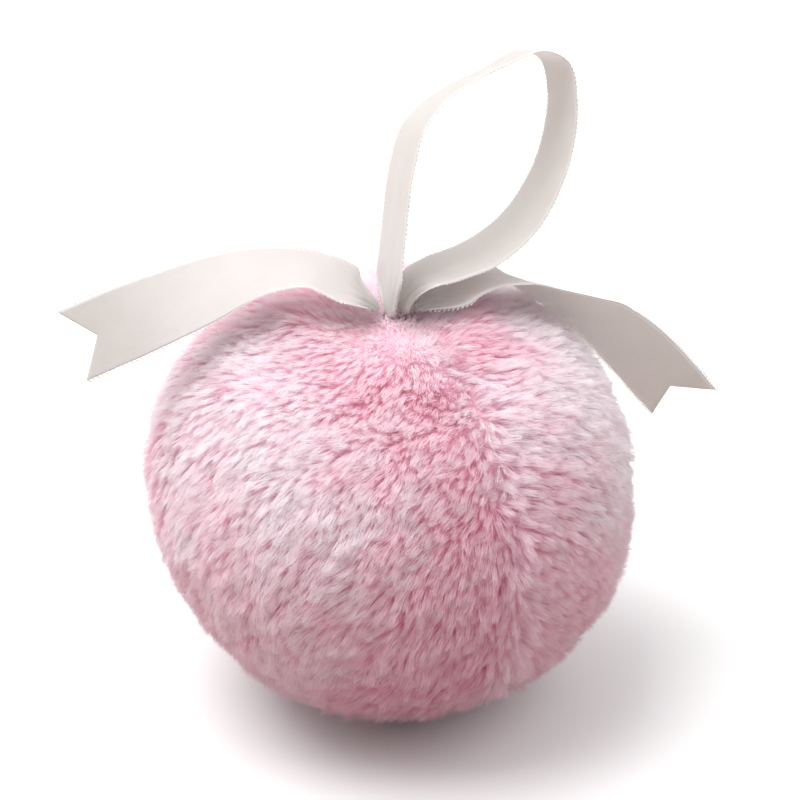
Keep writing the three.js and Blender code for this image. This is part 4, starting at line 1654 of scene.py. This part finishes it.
@dataclass
class Bow:
    """The hanging loop and the two tails, which stand side by side on the tack.

    A row of shares gives a point of a route in shares of its reaches, and the roll there in degrees.
    """

    ball: PlushBall
    satin: bpy.types.Material
    ribbon_solid: float = 0.5
    pleats: int = 8
    tack_stand: float = 0.4
    gap: float = 0.3
    foot_spread: float = 2.6
    route_samples: int = 24
    loop_rise: float = 38.8
    loop_reach: float = 36.0
    loop_turn: float = math.radians(23)
    loop_lean: float = math.radians(23)
    loop_shares: Shares = (
        (-0.01, 0.2, 3), (0.05, 0.4, 3), (0.13, 0.64, 3), (0.24, 0.83, 4), (0.43, 0.94, 8),
        (0.67, 1.0, 9), (0.88, 1.04, 4), (0.99, 0.97, 1), (1.0, 0.8, 0), (0.95, 0.63, 2),
        (0.86, 0.47, 4), (0.68, 0.29, 9), (0.46, 0.192, 13), (0.25, 0.162, 13), (0.12, 0.137, 7),
    )
    left_reach: Place = (-52.6, 6.0, 5.0)
    left_shares: Shares = (
        (0.03, 0.03, 0.3, -2), (0.08, 0.08, 0.76, -6), (0.2, 0.42, 1.23, -5), (0.36, 0.6, 1.12, 6),
        (0.49, 0.48, 0.8, 16), (0.6, 0.15, 0.5, 27), (0.69, -0.2, 0.3, 33), (0.85, -0.85, -0.05, 50),
        (1.0, -1.5, -0.38, 55),
    )
    right_reach: Place = (49.0, 28.0, -41.0)
    right_shares: Shares = (
        (0.07, 0.09, -0.01, -4), (0.15, 0.2, -0.035, -8), (0.25, 0.29, -0.045, -11), (0.36, 0.34, -0.008, -22),
        (0.46, 0.41, 0.086, -30), (0.57, 0.51, 0.19, -35), (0.67, 0.63, 0.32, -43), (0.8, 0.78, 0.54, -54),
        (0.92, 0.9, 0.77, -60), (0.98, 0.95, 0.885, -60),
    )

    def route(self, knots: list[tuple[float, ...]], rolls: list[float]) -> tuple[Array, Array, Array]:
        """Draws a ribbon's route.

        Args:
            knots: Its points in millimetres.
            rolls: The roll at each in degrees.

        Returns:
            Closely spaced points, and the direction and the roll in radians at each.
        """
        points, places = smooth_route(np.array(knots, float), self.route_samples)
        roll = np.radians(np.interp(places, range(len(rolls)), rolls))
        return points, unit(np.gradient(points, axis=0)), roll

    def gather(self) -> Array:
        """Returns the place that the feet stand on."""
        return self.ball.mouth + np.array([0, 0, self.tack_stand + self.gap])

    def loop(self) -> Ribbon:
        """Makes the hanging loop, upright in its own frame and then leaned back and turned.

        Returns:
            The ribbon.
        """
        foot, foot_radius = self.foot_spread / 2, Ribbon.foot_width / 2
        knots = [(-foot, 0, 0), (-foot, 0, foot_radius)]
        knots += [(x * self.loop_reach, 0, z * self.loop_rise) for x, z, _ in self.loop_shares]
        knots += [(foot, 0, foot_radius), (foot, 0, 0)]
        points, ways, roll = self.route(knots, [0, 0, *(row[-1] for row in self.loop_shares), 0, 0])
        across = turned(np.tile([0.0, 1.0, 0.0], (len(points), 1)), ways, -roll)
        cosine, sine = math.cos(self.loop_turn), math.sin(self.loop_turn)
        about_z = np.array([[cosine, -sine, 0], [sine, cosine, 0], [0, 0, 1]])
        cosine, sine = math.cos(-self.loop_lean), math.sin(-self.loop_lean)
        turn = about_z @ np.array([[1, 0, 0], [0, cosine, -sine], [0, sine, cosine]])
        lift = np.array([0, 0, foot_radius])
        ends = {"end": RibbonEnd.SECOND_FOOT, "rows": 300, "flare": 8.0, "fold_share": 0.6}
        ribbon = Ribbon("satin_loop", "ribbon_loop", Body.LOOP, **ends)
        ribbon.lay(points, across, turn, self.gather() + lift - turn @ lift, self.satin)
        return ribbon

    def tail(self, word: str, body: Body, shares: Shares, reach: Place) -> Ribbon:
        """Makes one tail.

        Args:
            word: The tail's side.
            body: Its body.
            shares: Shares of its reaches sideways, back and up, and its roll, point by point.
            reach: The reaches.

        Returns:
            The ribbon.
        """
        knots = [(0, 0, 0)] + [(x * reach[0], y * reach[1], z * reach[2]) for x, y, z, _ in shares]
        points, ways, roll = self.route(knots, [0, *(row[-1] for row in shares)])
        hand = math.copysign(1, reach[0])
        level = unit(np.stack([-ways[:, 1], ways[:, 0], np.zeros(len(ways))], 1) * hand)
        pleat = Ribbon.width / self.pleats
        half = math.sqrt(pleat**2 - (Ribbon.foot_width / self.pleats) ** 2) / 2 + self.ribbon_solid / 2
        clear_of_loop = (self.foot_spread / 2 + half) * math.cos(self.loop_turn)
        start = clear_of_loop + Ribbon.foot_width / 2 * math.sin(self.loop_turn) + self.gap
        ends = {"end": RibbonEnd.V_CUT, "rows": 200, "foot_width": 3.0, "flare": 7.5, "fold_share": 0.4}
        ribbon = Ribbon(f"satin_tail_{word}", f"ribbon_tail_{word}", body, **ends)
        shift = self.gather() + np.array([hand * start, 0, half])
        ribbon.lay(points, turned(level, ways, hand * roll), np.eye(3), shift, self.satin)
        return ribbon

    def build(self) -> list[Ribbon]:
        """Makes the loop and both tails.

        Returns:
            The three ribbons.
        """
        left = ("left", Body.LEFT_TAIL, self.left_shares, self.left_reach)
        right = ("right", Body.RIGHT_TAIL, self.right_shares, self.right_reach)
        return [self.loop(), self.tail(*left), self.tail(*right)]


@dataclass(frozen=True)
class FloorFinish(Finish):
    """White floor, which is darker for the light that falls on the puff from it."""

    name: str = "white_floor"
    shown: tuple[float, ...] = (0.98, 0.98, 0.98, 1)
    lit: tuple[float, ...] = (0.46, 0.365, 0.34, 1)

    def surface(self, bench: NodeBench) -> dict[str, Any]:
        """Returns the inputs of the floor's shader."""
        colour = bench.mixed(Studio.seen(bench), self.lit, self.shown)
        return {"Base Color": colour, "Roughness": 0.9, "Specular IOR Level": 0.1}


@dataclass
class Studio:
    """White floor and backdrop, soft lamps and a camera at the picture's angle."""

    elevation: float = math.radians(33)
    aim: Place = (1.75, 8.6, 51.94)
    distance: float = 1200.0
    pixels_per_mm: float = 5.7
    frame_pixels: int = 800
    sensor: float = 36.0
    clip: tuple[float, float] = (0.01, 50.0)
    floor_size: float = 6000.0
    lamps: tuple[Lamp, ...] = (Lamp("key", (-0.42, 0.0, 1.05), 0.9, 11.8), Lamp("fill", (0.8, -0.15, 0.9), 0.8, 3.3))
    lamp_aim: Place = (0.0, 0.0, 0.045)
    soft_way: Place = (-0.45, 0.89, 0.0)
    soft: Fade = Fade(-0.8, 0.8, 0.33, 1.12)

    @staticmethod
    def seen(bench: NodeBench) -> Wire:
        """Finds the rays that show the background: the camera's, and those of gloss and of clear glass.

        Args:
            bench: The bench of a material or the world.

        Returns:
            1 for such a ray and 0 for one that lights cloth, from in front or through it.
        """
        rays = bench.add("ShaderNodeLightPath").outputs
        camera, glossy, diffuse, through = (
            Wire(bench, rays[f"Is {word} Ray"]) for word in ("Camera", "Glossy", "Diffuse", "Transmission")
        )
        return bench.math("MAXIMUM", bench.math("MAXIMUM", camera, glossy), through - through * diffuse)

    def camera(self) -> None:
        """Sets the camera, whose lens gives the picture's scale at the aim."""
        data = bpy.data.cameras.new("camera")
        data.sensor_width = self.sensor
        data.lens = self.pixels_per_mm * self.distance * self.sensor / self.frame_pixels
        data.clip_start, data.clip_end = self.clip
        camera = bpy.data.objects.new("camera", data)
        bpy.context.scene.collection.objects.link(camera)
        back = np.array([0, -math.cos(self.elevation), math.sin(self.elevation)])
        camera.location = tuple((np.array(self.aim) + back * self.distance) * MM)
        camera.rotation_euler = (math.pi / 2 - self.elevation, 0, 0)
        bpy.context.scene.camera = camera

    def lights(self) -> None:
        """Sets the lamps, which face the puff."""
        for lamp in self.lamps:
            data = bpy.data.lights.new(lamp.name, "AREA")
            data.size, data.energy = lamp.size, lamp.power
            light = bpy.data.objects.new(lamp.name, data)
            bpy.context.scene.collection.objects.link(light)
            light.location = lamp.place
            way = Vector(self.lamp_aim) - Vector(lamp.place)
            light.rotation_euler = way.to_track_quat("-Z", "Y").to_euler()

    def floor(self) -> None:
        """Lays the floor, which keeps the puff's shadow."""
        half = self.floor_size / 2
        corners = [(-half, -half, 0), (half, -half, 0), (half, half, 0), (-half, half, 0)]
        floor = made_of("floor", corners, [(0, 1, 2, 3)])
        floor.data.materials.append(FloorFinish().build())

    def sky(self) -> None:
        """Sets the world: white where it is seen, and plain soft light elsewhere."""
        world = bpy.data.worlds.new("studio")
        world.use_nodes = True
        world.node_tree.nodes.clear()
        bench = NodeBench(world.node_tree)
        way = bench.wire("ShaderNodeTexCoord", output="Generated")
        soft = bench.span(bench.math("DOT_PRODUCT", way, self.soft_way), *self.soft)
        strength = soft + self.seen(bench) * (1.0 - soft)
        light = bench.wire("ShaderNodeBackground", {"Color": (1, 1, 1, 1), "Strength": strength})
        bench.add("ShaderNodeOutputWorld", {"Surface": light})
        bpy.context.scene.world = world

    def build(self) -> None:
        """Sets the whole studio."""
        self.camera()
        self.floor()
        self.sky()
        self.lights()
        bpy.context.scene.view_settings.view_transform = "Standard"


def main() -> None:
    """Builds the puff, its pile, its ribbons and the studio."""
    logging.basicConfig(level=logging.INFO, format="%(name)s %(message)s")
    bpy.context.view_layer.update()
    Studio().build()
    ball = PlushBall()
    skins = ball.build(KnitFinish().build(), WADDING.build())
    Pile(ball).build(skins, PileFinish().build())
    Sewing(ball, SpunThread(SEWING_THREAD.build())).build()
    ribbons = Bow(ball, SatinFinish().build()).build()
    PicotEdge(PICOT_THREAD.build()).build(ribbons)


if __name__ == "__main__":
    main()
